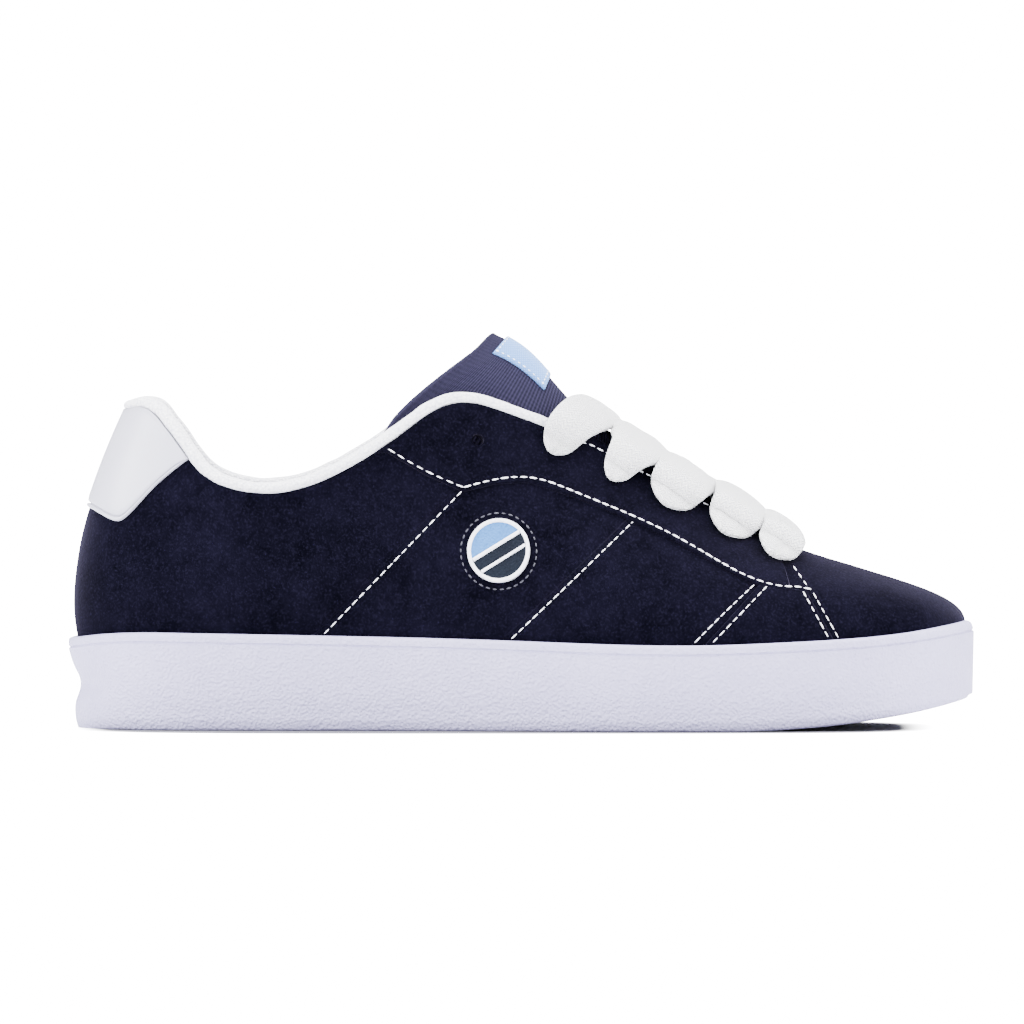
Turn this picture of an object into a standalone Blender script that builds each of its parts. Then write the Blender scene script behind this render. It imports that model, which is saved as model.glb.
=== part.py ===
# Low skateboarding shoe for the right foot: rubber cup sole, suede upper, padded tongue, fat flat laces.
# Metres. +X to the toe, +Y to the inner side of the foot, +Z up. The origin is under the middle of the sole.
# In the functions x is counted from the back of the heel, and place() moves it to the middle.

import math
from collections import namedtuple

import bmesh
import bpy
import numpy as np

# Driving dimensions: the sole
LENGTH = 0.298
BALL_WIDTH = 0.110
WAIST_WIDTH = 0.082
HEEL_WIDTH = 0.080
EDGE_HEIGHT = 0.030
TOE_SPRING = 0.0094
FLOOR_AT_HEEL = 0.020
FLOOR_AT_BALL = 0.0125
LIP = 0.0027
TUCK = 0.0030
BEVEL = 0.0032
LINE_DROP = 0.0032
LINE_DEPTH = 0.0005
RECESS = 0.0036
RECESS_WIDTH = 0.052
TREAD_DEPTH = 0.0018
TREAD_GROOVE = 0.0024
TREAD_PITCH = 0.0150
TREAD_WAVE = 0.0050
TREAD_RIM = 0.0120

# Driving dimensions: the upper
VAMP_HEIGHT = 0.0595
INSTEP_HEIGHT = 0.1108
COLLAR_DIP = 0.0816
HEEL_HEIGHT = 0.1087
COLLAR_WIDTH = 0.074
THROAT_WIDTH = 0.040
WALL = 0.0022
OVERLAY = 0.0012
ROLL_HEIGHT = 0.0037
ROLL_DEPTH = 0.0068
TAB_DROP = 0.0395
EYELET_BORE = 0.0042

# Driving dimensions: what lies in and on it
INSOLE = 0.0040
TONGUE_HEIGHT = 0.1306
TONGUE_WIDTH = 0.049
TONGUE_PAD = 0.0085
TONGUE_EDGE = 0.0030
LABEL_LENGTH = 0.0190
LABEL_THICKNESS = 0.0009
BADGE_RADIUS = 0.0103
BADGE_THICKNESS = 0.0018
LACE_WIDTH = 0.0205
LACE_THICKNESS = 0.0042
CLEAR = 0.0003

RIBS = 64
UP = np.array((0.0, 0.0, 1.0))


def spline(xs, ys, period=0.0):
    """A smooth curve through the rows, closed where it has a period."""
    xs = np.asarray(xs, float)
    ys = np.asarray(ys, float)
    ys = ys.reshape(len(xs), -1)
    if period:
        xs = np.append(xs, xs[0] + period)
        ys = np.vstack([ys, ys[:1]])
    count = len(xs)
    step = np.diff(xs)
    rise = np.diff(ys, axis=0) / step[:, None]
    system = np.zeros((count, count))
    right = np.zeros((count, ys.shape[1]))
    for i in range(1, count - 1):
        system[i, i - 1:i + 2] = 1 / step[i - 1], 2 / step[i - 1] + 2 / step[i], 1 / step[i]
        right[i] = 3 * (rise[i - 1] / step[i - 1] + rise[i] / step[i])
    if period:
        system[0, [0, 1]] = 2 / step[0], 1 / step[0]
        system[0, [-1, -2]] = 2 / step[-1], 1 / step[-1]
        right[0] = 3 * (rise[0] / step[0] + rise[-1] / step[-1])
        system[-1, [0, -1]] = 1, -1
    else:
        system[0, [0, 1]] = 2, 1
        right[0] = 3 * rise[0]
        system[-1, [-1, -2]] = 2, 1
        right[-1] = 3 * rise[-1]
    slope = np.linalg.solve(system, right)

    def value(at):
        at = np.asarray(at, float)
        if period:
            at = (at - xs[0]) % period + xs[0]
        at = np.clip(at, xs[0], xs[-1])
        i = np.clip(np.searchsorted(xs, at, side="right") - 1, 0, count - 2)
        h = step[i]
        u = (at - xs[i]) / h
        u, h = u[..., None], h[..., None]
        bend = (2 * u**3 - 3 * u**2 + 1) * ys[i] + (3 * u**2 - 2 * u**3) * ys[i + 1]
        return bend + h * ((u**3 - 2 * u**2 + u) * slope[i] + (u**3 - u**2) * slope[i + 1])

    return value


def smooth(low, high, at):
    u = np.clip((np.asarray(at, float) - low) / (high - low), 0, 1)
    return u * u * (3 - 2 * u)


def unit(vectors):
    return vectors / np.linalg.norm(vectors, axis=-1, keepdims=True)


def raised(flat, height):
    return np.concatenate([flat, np.asarray(height, float)[..., None]], -1)


# The sections of the last, from the toe round the outer side to the heel and back by the inner side.
# along, top_along: shares of the length. ball, waist, heel: shares of half of each width.
# collar, throat: where the top edge lies, as shares of half the collar's and the throat's width.
# lean, crown: the wall's slope where it leaves the sole and at its top edge, in degrees.
# rise, reach: how far each of those slopes holds, as shares of the section's length.
Section = namedtuple("Section", "along ball waist heel top_along collar throat lean rise crown reach")
SECTIONS = [
    Section(1.000, 0.05, 0.00, 0.00, 0.799, 0.00, 0.00, -6, 0.15, 18, 0.60),
    Section(0.970, -0.45, 0.00, 0.00, 0.798, 0.00, -0.18, -3, 0.18, 18, 0.57),
    Section(0.923, -0.69, 0.00, 0.00, 0.795, 0.00, -0.34, 0, 0.23, 19, 0.51),
    Section(0.856, -0.865, 0.00, 0.00, 0.786, 0.00, -0.50, 3, 0.28, 21, 0.46),
    Section(0.772, -0.965, 0.00, 0.00, 0.761, 0.00, -0.67, 5, 0.32, 26, 0.42),
    Section(0.671, -1.00, 0.00, 0.00, 0.695, 0.00, -0.84, 6, 0.34, 35, 0.38),
    Section(0.570, -0.72, -0.33, 0.00, 0.607, 0.00, -0.95, 6, 0.34, 47, 0.36),
    Section(0.470, -0.26, -0.82, 0.00, 0.517, -0.22, -0.70, 6, 0.33, 59, 0.34),
    Section(0.369, 0.00, -1.07, 0.00, 0.430, -0.76, 0.00, 8, 0.32, 68, 0.33),
    Section(0.268, 0.00, -0.34, -0.715, 0.342, -0.92, 0.00, 10, 0.32, 72, 0.33),
    Section(0.168, 0.00, 0.00, -1.025, 0.235, -1.00, 0.00, 12, 0.32, 73, 0.33),
    Section(0.084, 0.00, 0.00, -0.875, 0.148, -0.86, 0.00, 14, 0.30, 69, 0.33),
    Section(0.024, 0.00, 0.00, -0.500, 0.086, -0.47, 0.00, 14, 0.30, 65, 0.32),
    Section(0.000, 0.00, 0.00, 0.000, 0.0655, 0.00, 0.00, 13, 0.29, 65, 0.32),
    Section(0.024, 0.00, 0.00, 0.485, 0.086, 0.47, 0.00, 14, 0.30, 65, 0.32),
    Section(0.084, 0.00, 0.00, 0.830, 0.148, 0.86, 0.00, 14, 0.30, 69, 0.33),
    Section(0.168, 0.00, 0.00, 0.975, 0.235, 1.00, 0.00, 11, 0.32, 73, 0.33),
    Section(0.268, 0.00, 0.31, 0.650, 0.342, 0.92, 0.00, 8, 0.32, 72, 0.33),
    Section(0.369, 0.00, 0.91, 0.000, 0.430, 0.76, 0.00, 6, 0.32, 68, 0.33),
    Section(0.470, 0.22, 0.66, 0.000, 0.517, 0.22, 0.70, 5, 0.33, 59, 0.34),
    Section(0.570, 0.62, 0.31, 0.000, 0.607, 0.00, 0.95, 5, 0.34, 47, 0.36),
    Section(0.671, 0.97, 0.00, 0.000, 0.695, 0.00, 0.84, 5, 0.34, 35, 0.38),
    Section(0.772, 0.985, 0.00, 0.000, 0.761, 0.00, 0.67, 4, 0.32, 26, 0.42),
    Section(0.856, 0.92, 0.00, 0.000, 0.786, 0.00, 0.50, 2, 0.28, 21, 0.46),
    Section(0.923, 0.765, 0.00, 0.000, 0.795, 0.00, 0.34, -1, 0.23, 19, 0.51),
    Section(0.970, 0.545, 0.00, 0.000, 0.798, 0.00, 0.18, -4, 0.18, 18, 0.57),
]

# The top edge seen from the side. along: share of the length. The rest: shares of each named height.
Top = namedtuple("Top", "along vamp instep dip heel")
TOPLINE = [
    Top(0.0655, 0.0, 0.0, 0.03, 0.97),
    Top(0.076, 0.0, 0.0, 0.00, 1.00),
    Top(0.091, 0.0, 0.0, 0.01, 0.99),
    Top(0.106, 0.0, 0.0, 0.125, 0.875),
    Top(0.128, 0.0, 0.0, 0.445, 0.555),
    Top(0.159, 0.0, 0.0, 0.82, 0.18),
    Top(0.190, 0.0, 0.0, 0.97, 0.03),
    Top(0.232, 0.0, 0.0, 1.00, 0.0),
    Top(0.278, 0.0, 0.13, 0.87, 0.0),
    Top(0.322, 0.0, 0.37, 0.63, 0.0),
    Top(0.363, 0.0, 0.65, 0.35, 0.0),
    Top(0.400, 0.0, 0.91, 0.09, 0.0),
    Top(0.440, 0.0, 1.00, 0.0, 0.0),
    Top(0.490, 0.08, 0.92, 0.0, 0.0),
    Top(0.530, 0.17, 0.83, 0.0, 0.0),
    Top(0.619, 0.44, 0.56, 0.0, 0.0),
    Top(0.708, 0.72, 0.28, 0.0, 0.0),
    Top(0.799, 1.00, 0.0, 0.0, 0.0),
]

# The sole's top edge seen from the side: shares of the length and of the edge's height.
Edge = namedtuple("Edge", "along height")
EDGE = [
    Edge(0.00, 0.990),
    Edge(0.03, 1.037),
    Edge(0.12, 1.067),
    Edge(0.27, 1.043),
    Edge(0.50, 0.987),
    Edge(0.70, 0.945),
    Edge(0.80, 0.980),
    Edge(0.92, 1.060),
    Edge(1.00, 1.175),
]
SPRING_FROM = 0.72

outline_rows = spline(
    np.arange(len(SECTIONS)) / len(SECTIONS),
    [[s.along * LENGTH, (s.ball * BALL_WIDTH + s.waist * WAIST_WIDTH + s.heel * HEEL_WIDTH) / 2,
      s.top_along * LENGTH, (s.collar * COLLAR_WIDTH + s.throat * THROAT_WIDTH) / 2,
      math.radians(s.lean), s.rise, math.radians(s.crown), s.reach] for s in SECTIONS],
    period=1.0)
topline_rows = spline(
    [r.along * LENGTH for r in TOPLINE],
    [r.vamp * VAMP_HEIGHT + r.instep * INSTEP_HEIGHT + r.dip * COLLAR_DIP + r.heel * HEEL_HEIGHT
     for r in TOPLINE])
edge_rows = spline([r.along * LENGTH for r in EDGE], [r.height * EDGE_HEIGHT for r in EDGE])


def edge_height(x):
    return edge_rows(x)[..., 0]


def ground(x):
    """How high the sole's underside is: flat, with the toe sprung up."""
    return TOE_SPRING * np.clip((x / LENGTH - SPRING_FROM) / (1 - SPRING_FROM), 0, 1) ** 2


def cup_floor(x):
    return ground(x) + FLOOR_AT_BALL + (FLOOR_AT_HEEL - FLOOR_AT_BALL) * (1 - smooth(0.25, 0.6, x / LENGTH))


def outline(t, inset=0.0):
    """A point of the sole's outline at share t of the way round, moved in by inset."""
    here = outline_rows(t)[..., :2]
    ahead = outline_rows(np.asarray(t) + 1e-4)[..., :2] - outline_rows(np.asarray(t) - 1e-4)[..., :2]
    inward = unit(np.stack([ahead[..., 1], -ahead[..., 0]], -1))
    return here + inward * np.asarray(inset)[..., None]


ROUND = np.arange(RIBS) / RIBS
MIDDLE = (outline(ROUND).min(axis=0) + outline(ROUND).max(axis=0)) / 2


def topline(x):
    return topline_rows(x)[..., 0]


def roll_share(x):
    """How much of the collar roll there is over a point of the top edge."""
    return 1 - smooth(0.535 * LENGTH, 0.58 * LENGTH, x)


def top_edge(t):
    """The upper's own top edge, under the collar roll."""
    rows = outline_rows(t)
    x = rows[..., 2]
    slope = (topline(x + 1e-4) - topline(x - 1e-4)) / 2e-4
    height = topline(x) - ROLL_HEIGHT * roll_share(x) * np.sqrt(1 + np.minimum(slope**2, 1.2))
    return raised(rows[..., 2:4], height)


def upper_point(t, v):
    """The upper's outer face. v runs from -1 at its foot in the cup, past 0 at the cup's edge, to 1 on top."""
    t, v = np.broadcast_arrays(np.asarray(t, float), np.asarray(v, float))
    rows = outline_rows(t)
    along = outline(t)[..., 0]
    foot = raised(outline(t, LIP + CLEAR + TUCK), cup_floor(along) + CLEAR)
    rim = raised(outline(t, LIP + CLEAR), edge_height(along))
    top = top_edge(t)
    span = top - rim
    length = np.linalg.norm(span, axis=-1, keepdims=True)
    level = unit(span * (1, 1, 0))
    outward = raised(outline(t, -1.0) - outline(t), np.zeros(t.shape))
    lean, rise, crown, reach = (rows[..., i, None] for i in range(4, 8))
    low = rim + rise * length * (np.cos(lean) * UP + np.sin(lean) * outward)
    high = top - reach * length * (np.cos(crown) * level + np.sin(crown) * UP)
    u = np.clip(v, 0, 1)[..., None]
    wall = (1 - u)**3 * rim + 3 * (1 - u)**2 * u * low + 3 * (1 - u) * u**2 * high + u**3 * top
    return wall + (foot - rim) * np.clip(-v, 0, 1)[..., None]


def upper_normal(t, v, step=2e-3):
    """The outward direction of the upper's face."""
    t, v = np.broadcast_arrays(np.asarray(t, float), np.asarray(v, float))
    across = upper_point(t + step / 4, v) - upper_point(t - step / 4, v)
    rising = upper_point(t, np.clip(v + step, -1, 1)) - upper_point(t, np.clip(v - step, -1, 1))
    return unit(np.cross(rising, across))


def off_upper(t, v, height):
    return upper_point(t, v) + upper_normal(t, v) * np.asarray(height)[..., None]


def rise_to(t, inside):
    """For each section, the share v at which the wall comes inside a border."""
    low, high = np.zeros(len(t)), np.ones(len(t))
    for _ in range(30):
        middle = (low + high) / 2
        within = inside(upper_point(t, middle))
        high = np.where(within, middle, high)
        low = np.where(within, low, middle)
    return high


def find(x, z, side):
    """The shares t and v of the wall's points that show at x, z from its outer side, -1, or its inner, 1."""
    x, z = np.broadcast_arrays(np.asarray(x, float), np.asarray(z, float))
    rounds = 0.5 + side * np.linspace(0.02, 0.48, 47)
    t, v = np.meshgrid(rounds, np.linspace(0.02, 0.98, 25), indexing="ij")
    t, v = t.ravel(), v.ravel()
    seen = upper_point(t, v)
    nearest = np.argmin((seen[:, 0] - x[..., None])**2 + (seen[:, 2] - z[..., None])**2, axis=-1)
    t, v = t[nearest], v[nearest]
    step = 1e-4
    for _ in range(12):
        short = np.stack([x, z], -1) - upper_point(t, v)[..., [0, 2]]
        by_t = (upper_point(t + step, v) - upper_point(t - step, v))[..., [0, 2]] / (2 * step)
        by_v = (upper_point(t, v + step) - upper_point(t, v - step))[..., [0, 2]] / (2 * step)
        area = by_t[..., 0] * by_v[..., 1] - by_t[..., 1] * by_v[..., 0]
        t = t + (short[..., 0] * by_v[..., 1] - short[..., 1] * by_v[..., 0]) / area
        v = np.clip(v + (short[..., 1] * by_t[..., 0] - short[..., 0] * by_t[..., 1]) / area, 0, 1)
    return t, v


def material(name, colour, roughness):
    """A plain finish; colour in linear shares."""
    made = bpy.data.materials.new(name)
    made.use_nodes = True
    shader = made.node_tree.nodes["Principled BSDF"]
    shader.inputs["Base Color"].default_value = (*colour, 1)
    shader.inputs["Roughness"].default_value = roughness
    made.diffuse_color = (*colour, 1)
    return made


def place(name, mesh_data, finish, collection):
    """Puts a mesh into the shoe's frame."""
    for vertex in mesh_data.vertices:
        vertex.co.x -= MIDDLE[0]
        vertex.co.y -= MIDDLE[1]
    made = bpy.data.objects.new(name, mesh_data)
    made.data.materials.append(finish)
    made.data.shade_smooth()
    made.data.set_sharp_from_angle(angle=math.radians(40))
    collection.objects.link(made)
    return made


def sheet(name, grid, closed=False):
    """An open surface over a grid of points, facing columns x rows."""
    rows, columns = grid.shape[:2]
    faces = []
    for i in range(rows if closed else rows - 1):
        for j in range(columns - 1):
            a, b = i * columns + j, ((i + 1) % rows) * columns + j
            faces.append((a, a + 1, b + 1, b))
    made = bpy.data.meshes.new(name)
    made.from_pydata(grid.reshape(-1, 3).tolist(), [], faces)
    return made


def thicken(made, thickness, offset):
    """Gives a sheet its thickness: offset -1 thickens it inwards, 1 outwards."""
    solid = made.modifiers.new("thickness", "SOLIDIFY")
    solid.thickness = thickness
    solid.offset = offset
    solid.use_even_offset = True


def cut(made, cutter, operation="DIFFERENCE"):
    tool = made.modifiers.new(cutter.name, "BOOLEAN")
    tool.object = cutter
    tool.operation = operation


def solids(name, bodies):
    """One mesh of closed bodies. Each is its rings of points and how its two ends are closed."""
    points, faces = [], []
    for rings, ends in bodies:
        base, count = len(points), len(rings[0])
        points += [tuple(p) for ring in rings for p in ring]
        for k in range(len(rings) - 1):
            low, high = base + k * count, base + (k + 1) * count
            for i in range(count):
                j = (i + 1) % count
                faces.append((low + i, low + j, high + j, high + i))
        for start in (base, base + (len(rings) - 1) * count):
            faces += [tuple(start + i for i in face) for face in ends(count)]
    made = bpy.data.meshes.new(name)
    made.from_pydata(points, [], faces)
    work = bmesh.new()
    work.from_mesh(made)
    bmesh.ops.recalc_face_normals(work, faces=work.faces)
    work.to_mesh(made)
    work.free()
    return made


def flat_end(count):
    return [tuple(range(count))]


def rung_end(count):
    """Rungs from the outer side of a ring to its inner side."""
    rungs = []
    for i in range(count // 2):
        corners = (i, i + 1, count - i - 1, (count - i) % count)
        rungs.append(tuple(dict.fromkeys(corners)))
    return rungs


def lens_end(count):
    """Rungs from the upper face of a flattened ring to its lower face; each has half of the points."""
    return [(i, i + 1, count - 2 - i, count - 1 - i) for i in range(count // 2 - 1)]


# How the sole's side goes: shares of its height, and how far it is set in, away from the heel and at it.
Step = namedtuple("Step", "height inset heel_inset")
SIDE = [
    Step(0.00, 1.00, 0.90),
    Step(0.06, 0.55, 0.72),
    Step(0.16, 0.40, 0.60),
    Step(0.30, 0.32, 0.68),
    Step(0.41, 0.26, 1.00),
    Step(0.57, 0.18, 0.95),
    Step(0.67, 0.12, 0.55),
    Step(0.85, 0.03, 0.05),
]
# Where the tread's grooves lie, as shares of the length.
TREAD = [(0.07, 0.31), (0.58, 0.93)]


def side_across(x, side):
    """How far out the sole's outline is at x, on its outer side, -1, or its inner, 1."""
    t = 0.5 + side * np.linspace(0.0, 0.5, 400)
    edge = outline(t)
    return np.interp(x, edge[:, 0], edge[:, 1])


def tread_grooves(collection):
    """Waved grooves across the underside, inside an uncut rim."""
    bodies = []
    for start, end in TREAD:
        count = max(2, round((end - start) * LENGTH / TREAD_PITCH))
        for x in np.linspace(start * LENGTH, end * LENGTH, count):
            outer = side_across(x, -1) + TREAD_RIM
            inner = side_across(x, 1) - TREAD_RIM
            turns = max(2, round((inner - outer) / TREAD_PITCH))
            rings = []
            for k, y in enumerate(np.linspace(outer, inner, turns + 1)):
                here = x + TREAD_WAVE / 2 * (-1)**k
                high = ground(x) + TREAD_DEPTH
                front, back = here + TREAD_GROOVE / 2, here - TREAD_GROOVE / 2
                rings.append([(back, y, -TREAD_DEPTH), (front, y, -TREAD_DEPTH), (front, y, high), (back, y, high)])
            bodies.append((rings, flat_end))
    made = place("tread_grooves", solids("tread_grooves", bodies), bpy.data.materials[0], collection)
    made.hide_render = True
    made.display_type = "WIRE"
    return made


def make_sole(finish, collection, cutters):
    along, across = outline(ROUND)[:, 0], outline(ROUND)[:, 1]
    low, high = ground(along), edge_height(along)
    at_heel = (1 - smooth(0.30, 0.60, np.abs(across) / RECESS_WIDTH)) * (along < LENGTH / 4)
    rings = []
    for step in SIDE:
        inset = step.inset * BEVEL * (1 - at_heel) + step.heel_inset * RECESS * at_heel
        rings.append(raised(outline(ROUND, inset), low + step.height * (high - low)))
    rings.append(raised(outline(ROUND), high - LINE_DROP - LINE_DEPTH))
    rings.append(raised(outline(ROUND, LINE_DEPTH), high - LINE_DROP))
    rings.append(raised(outline(ROUND), high - LINE_DROP + LINE_DEPTH))
    rings.append(raised(outline(ROUND), high - LIP / 3))
    rings.append(raised(outline(ROUND, LIP / 3), high))
    rings.append(raised(outline(ROUND, LIP), high))
    rings.append(raised(outline(ROUND, LIP + TUCK), cup_floor(along)))
    sole = place("sole", solids("sole", [(rings, rung_end)]), finish, collection)
    cut(sole, tread_grooves(cutters))


def make_insole(finish, collection):
    bed = cup_floor(outline(ROUND)[:, 0]) + CLEAR
    room = LIP + TUCK + WALL + 3 * CLEAR
    rings = [
        raised(outline(ROUND, room), bed),
        raised(outline(ROUND, room), bed + INSOLE * 0.7),
        raised(outline(ROUND, room + INSOLE * 0.3), bed + INSOLE),
    ]
    place("insole", solids("insole", [(rings, rung_end)]), finish, collection)


def make_upper(finish, collection, bores):
    v = np.concatenate([[-1], np.linspace(0, 1, 10)])
    grid = upper_point(ROUND[:, None], v[None, :])
    upper = place("upper", sheet("upper", grid, closed=True), finish, collection)
    thicken(upper, WALL, -1)
    cut(upper, bores)


def make_collar_roll(finish, collection):
    """The padded binding on the upper's top edge, from lace to lace round the heel."""
    steps = np.linspace(0, 0.5, 400)
    start = steps[top_edge(steps)[:, 0] > 0.555 * LENGTH][-1]
    t = np.linspace(start, 1 - start, 49)
    path = top_edge(t)
    outward = unit(upper_normal(t, np.ones(len(t))) * (1, 1, 0))
    ahead = unit(np.gradient(path, axis=0))
    up = np.cross(ahead, outward)
    up *= np.sign(up[:, 2:3])
    thick = np.clip(roll_share(path[:, 0]), 0.5, 1)[:, None] * ROLL_HEIGHT / 2
    narrow = 1 - 0.45 * smooth(0.28 * LENGTH, 0.42 * LENGTH, path[:, 0])
    deep = narrow[:, None] * ROLL_DEPTH / 2
    middle = path + up * (thick + CLEAR) - outward * (deep - OVERLAY)
    angles = np.arange(8) * 2 * math.pi / 8
    ring = [middle + outward * deep * math.cos(a) + up * (thick - CLEAR) * math.sin(a) for a in angles]
    rings = np.stack(ring, axis=1)
    place("collar_roll", solids("collar_roll", [(rings, flat_end)]), finish, collection)


def ribs_between(start, end, finer=1):
    """The upper's own sections between two shares of the way round, and those two."""
    ribs = np.arange(RIBS * finer) / (RIBS * finer)
    inner = ribs[(ribs > start + 0.3 / RIBS) & (ribs < end - 0.3 / RIBS)]
    return np.concatenate([[start], inner, [end]])


def overlay(name, t, low, high, finish, collection):
    """A piece that lies on the upper between two heights of each section."""
    share = np.linspace(0, 1, 6)[None, :]
    v = low[:, None] * (1 - share) + high[:, None] * share
    made = place(name, sheet(name, off_upper(t[:, None], v, CLEAR)), finish, collection)
    thicken(made, OVERLAY, 1)
    return made


# The heel tab's lower border seen from the side: shares of the length and of its drop below the heel's top.
Border = namedtuple("Border", "along drop")
TAB = [
    Border(0.000, 0.87),
    Border(0.022, 0.885),
    Border(0.043, 0.98),
    Border(0.053, 1.00),
    Border(0.064, 0.94),
    Border(0.093, 0.715),
    Border(0.118, 0.56),
    Border(0.131, 0.49),
]
TAB_REACH = 0.127


def tab_border(point):
    height = HEEL_HEIGHT - TAB_DROP * np.interp(
        point[..., 0] / LENGTH, [b.along for b in TAB], [b.drop for b in TAB])
    return point[..., 2] > height


def make_heel_tab(finish, collection):
    steps = np.linspace(0.3, 0.5, 400)
    start = steps[top_edge(steps)[:, 0] > TAB_REACH * LENGTH][-1]
    t = ribs_between(start, 1 - start, finer=2)
    overlay("heel_tab", t, rise_to(t, tab_border), np.ones(len(t)), finish, collection)


# The eyestay's lower seam seen from the side. along: share of the length. The rest: shares of the heights.
Seam = namedtuple("Seam", "along vamp instep")
SEAM = [
    Seam(0.353, 0.0, 0.832),
    Seam(0.395, 0.0, 0.765),
    Seam(0.436, 0.0, 0.716),
    Seam(0.470, 0.0, 0.738),
    Seam(0.508, 0.0, 0.748),
    Seam(0.560, 0.0, 0.703),
    Seam(0.628, 0.0, 0.630),
    Seam(0.700, 0.50, 0.254),
    Seam(0.757, 0.82, 0.0),
    Seam(0.790, 0.79, 0.0),
    Seam(0.850, 0.74, 0.0),
]
# The eyestay's front edge: where it is at the seam, and how far it leans back.
STAY_FRONT = 0.817
STAY_LEAN = math.radians(38)


def seam_height(x):
    return np.interp(x / LENGTH, [s.along for s in SEAM],
                     [s.vamp * VAMP_HEIGHT + s.instep * INSTEP_HEIGHT for s in SEAM])


def in_eyestay(point):
    x, z = point[..., 0], point[..., 2]
    front = STAY_FRONT * LENGTH - (z - seam_height(STAY_FRONT * LENGTH)) * math.tan(STAY_LEAN)
    return (z > seam_height(x)) & (x < front)


def make_eyestays(finish, collection, bores):
    """One suede overlay on each side, from the collar along the throat to the vamp."""
    for side, name in ((-1, "eyestay_outer"), (1, "eyestay_inner")):
        steps = 0.5 + side * np.linspace(0.1, 0.5, 1200)
        v = rise_to(steps, in_eyestay)
        inside = steps[(v < 0.97) & in_eyestay(upper_point(steps, 0.995))]
        t = ribs_between(inside.min(), inside.max())
        stay = overlay(name, t, rise_to(t, in_eyestay), np.ones(len(t)), finish, collection)
        cut(stay, bores)


# The side patch's front and back borders, at its foot and its head, as shares of the length.
PATCH_FOOT = (0.7000, 0.8430)
PATCH_HEAD = (0.7620, 0.8130)


def make_patches(finish, collection):
    """The double-stitched patch on each side of the forefoot, from the sole up to the eyestay."""
    for side, name in ((-1, "patch_outer"), (1, "patch_inner")):
        share = np.linspace(0, 1, 8)[:, None]
        up = np.linspace(0, 1, 6)[None, :]
        if side < 0:
            share = 1 - share
        foot = PATCH_FOOT[0] + (PATCH_FOOT[1] - PATCH_FOOT[0]) * share
        head = PATCH_HEAD[0] + (PATCH_HEAD[1] - PATCH_HEAD[0]) * share
        x = (foot * (1 - up) + head * up) * LENGTH
        low, high = edge_height(foot * LENGTH) + 3 * CLEAR, seam_height(head * LENGTH) - 3 * CLEAR
        t, v = find(x, low * (1 - up) + high * up, side)
        made = place(name, sheet(name, off_upper(t, v, CLEAR)), finish, collection)
        thicken(made, OVERLAY, 1)


# The tongue, from its foot under the vamp to its top. along and height place its ridge: shares of the length,
# and of the vamp's and the tongue's height. wide and deep: its arch, shares of the tongue's width.
# turn: how far its edges wrap down, and tilt: how far they lean back, in degrees.
Tongue = namedtuple("Tongue", "along vamp tongue wide deep turn tilt")
TONGUE = [
    Tongue(0.832, 0.895, 0.00, 0.33, 0.11, 50, 0),
    Tongue(0.805, 0.935, 0.00, 0.36, 0.19, 55, 0),
    Tongue(0.770, 1.040, 0.00, 0.40, 0.41, 58, 0),
    Tongue(0.720, 0.810, 0.19, 0.48, 0.66, 60, 0),
    Tongue(0.671, 0.590, 0.378, 0.54, 0.90, 60, 0),
    Tongue(0.611, 0.370, 0.560, 0.56, 1.04, 60, 2),
    Tongue(0.560, 0.180, 0.728, 0.54, 1.16, 64, 10),
    Tongue(0.512, 0.060, 0.905, 0.51, 1.16, 74, 30),
    Tongue(0.478, 0.000, 0.985, 0.50, 1.18, 82, 43),
    Tongue(0.468, 0.000, 1.000, 0.50, 1.18, 83, 45),
]
tongue_rows = spline(
    np.linspace(0, 1, len(TONGUE)),
    [[r.along * LENGTH, r.vamp * VAMP_HEIGHT + r.tongue * TONGUE_HEIGHT, r.wide * TONGUE_WIDTH,
      r.deep * TONGUE_WIDTH, math.radians(r.turn), math.radians(r.tilt)] for r in TONGUE])


def tongue_point(s, c):
    """The tongue's outer face: s from its foot to its top, c from -1 on its outer edge to 1."""
    s, c = np.broadcast_arrays(np.asarray(s, float), np.asarray(c, float))
    x, z, wide, deep, turn, tilt = np.moveaxis(tongue_rows(s), -1, 0)
    drop = deep * (1 - np.cos(turn * c))
    return np.stack([x - drop * np.sin(tilt), wide * np.sin(turn * c), z - drop * np.cos(tilt)], -1)


def tongue_normal(s, c, step=1e-3):
    s, c = np.broadcast_arrays(np.asarray(s, float), np.asarray(c, float))
    along = tongue_point(np.clip(s + step, 0, 1), c) - tongue_point(np.clip(s - step, 0, 1), c)
    across = tongue_point(s, c + step) - tongue_point(s, c - step)
    return unit(np.cross(across, along))


def make_tongue(finish, collection):
    """A padded sheet, thick in the middle and thin at its edges and foot, with a rounded top."""
    c = np.linspace(-1, 1, 13)[None, :]
    s = np.linspace(0, 1, 16)[:, None]
    face = tongue_point(s, c)
    inward = -tongue_normal(s, c)
    pad = (TONGUE_PAD - TONGUE_EDGE) * np.sqrt(1 - 0.96 * c**2) * smooth(0.05, 0.45, s)
    back = face + inward * (TONGUE_EDGE + pad)[..., None]
    rings = np.concatenate([face, back[:, ::-1]], axis=1)
    end = rings[-1]
    core = (end + end[::-1]) / 2
    rounded = end + (core - end) * 0.4 + unit(rings[-1] - rings[-2]) * TONGUE_PAD / 5
    rings = np.concatenate([rings, rounded[None]])
    place("tongue", solids("tongue", [(rings, lens_end)]), finish, collection)


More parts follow.
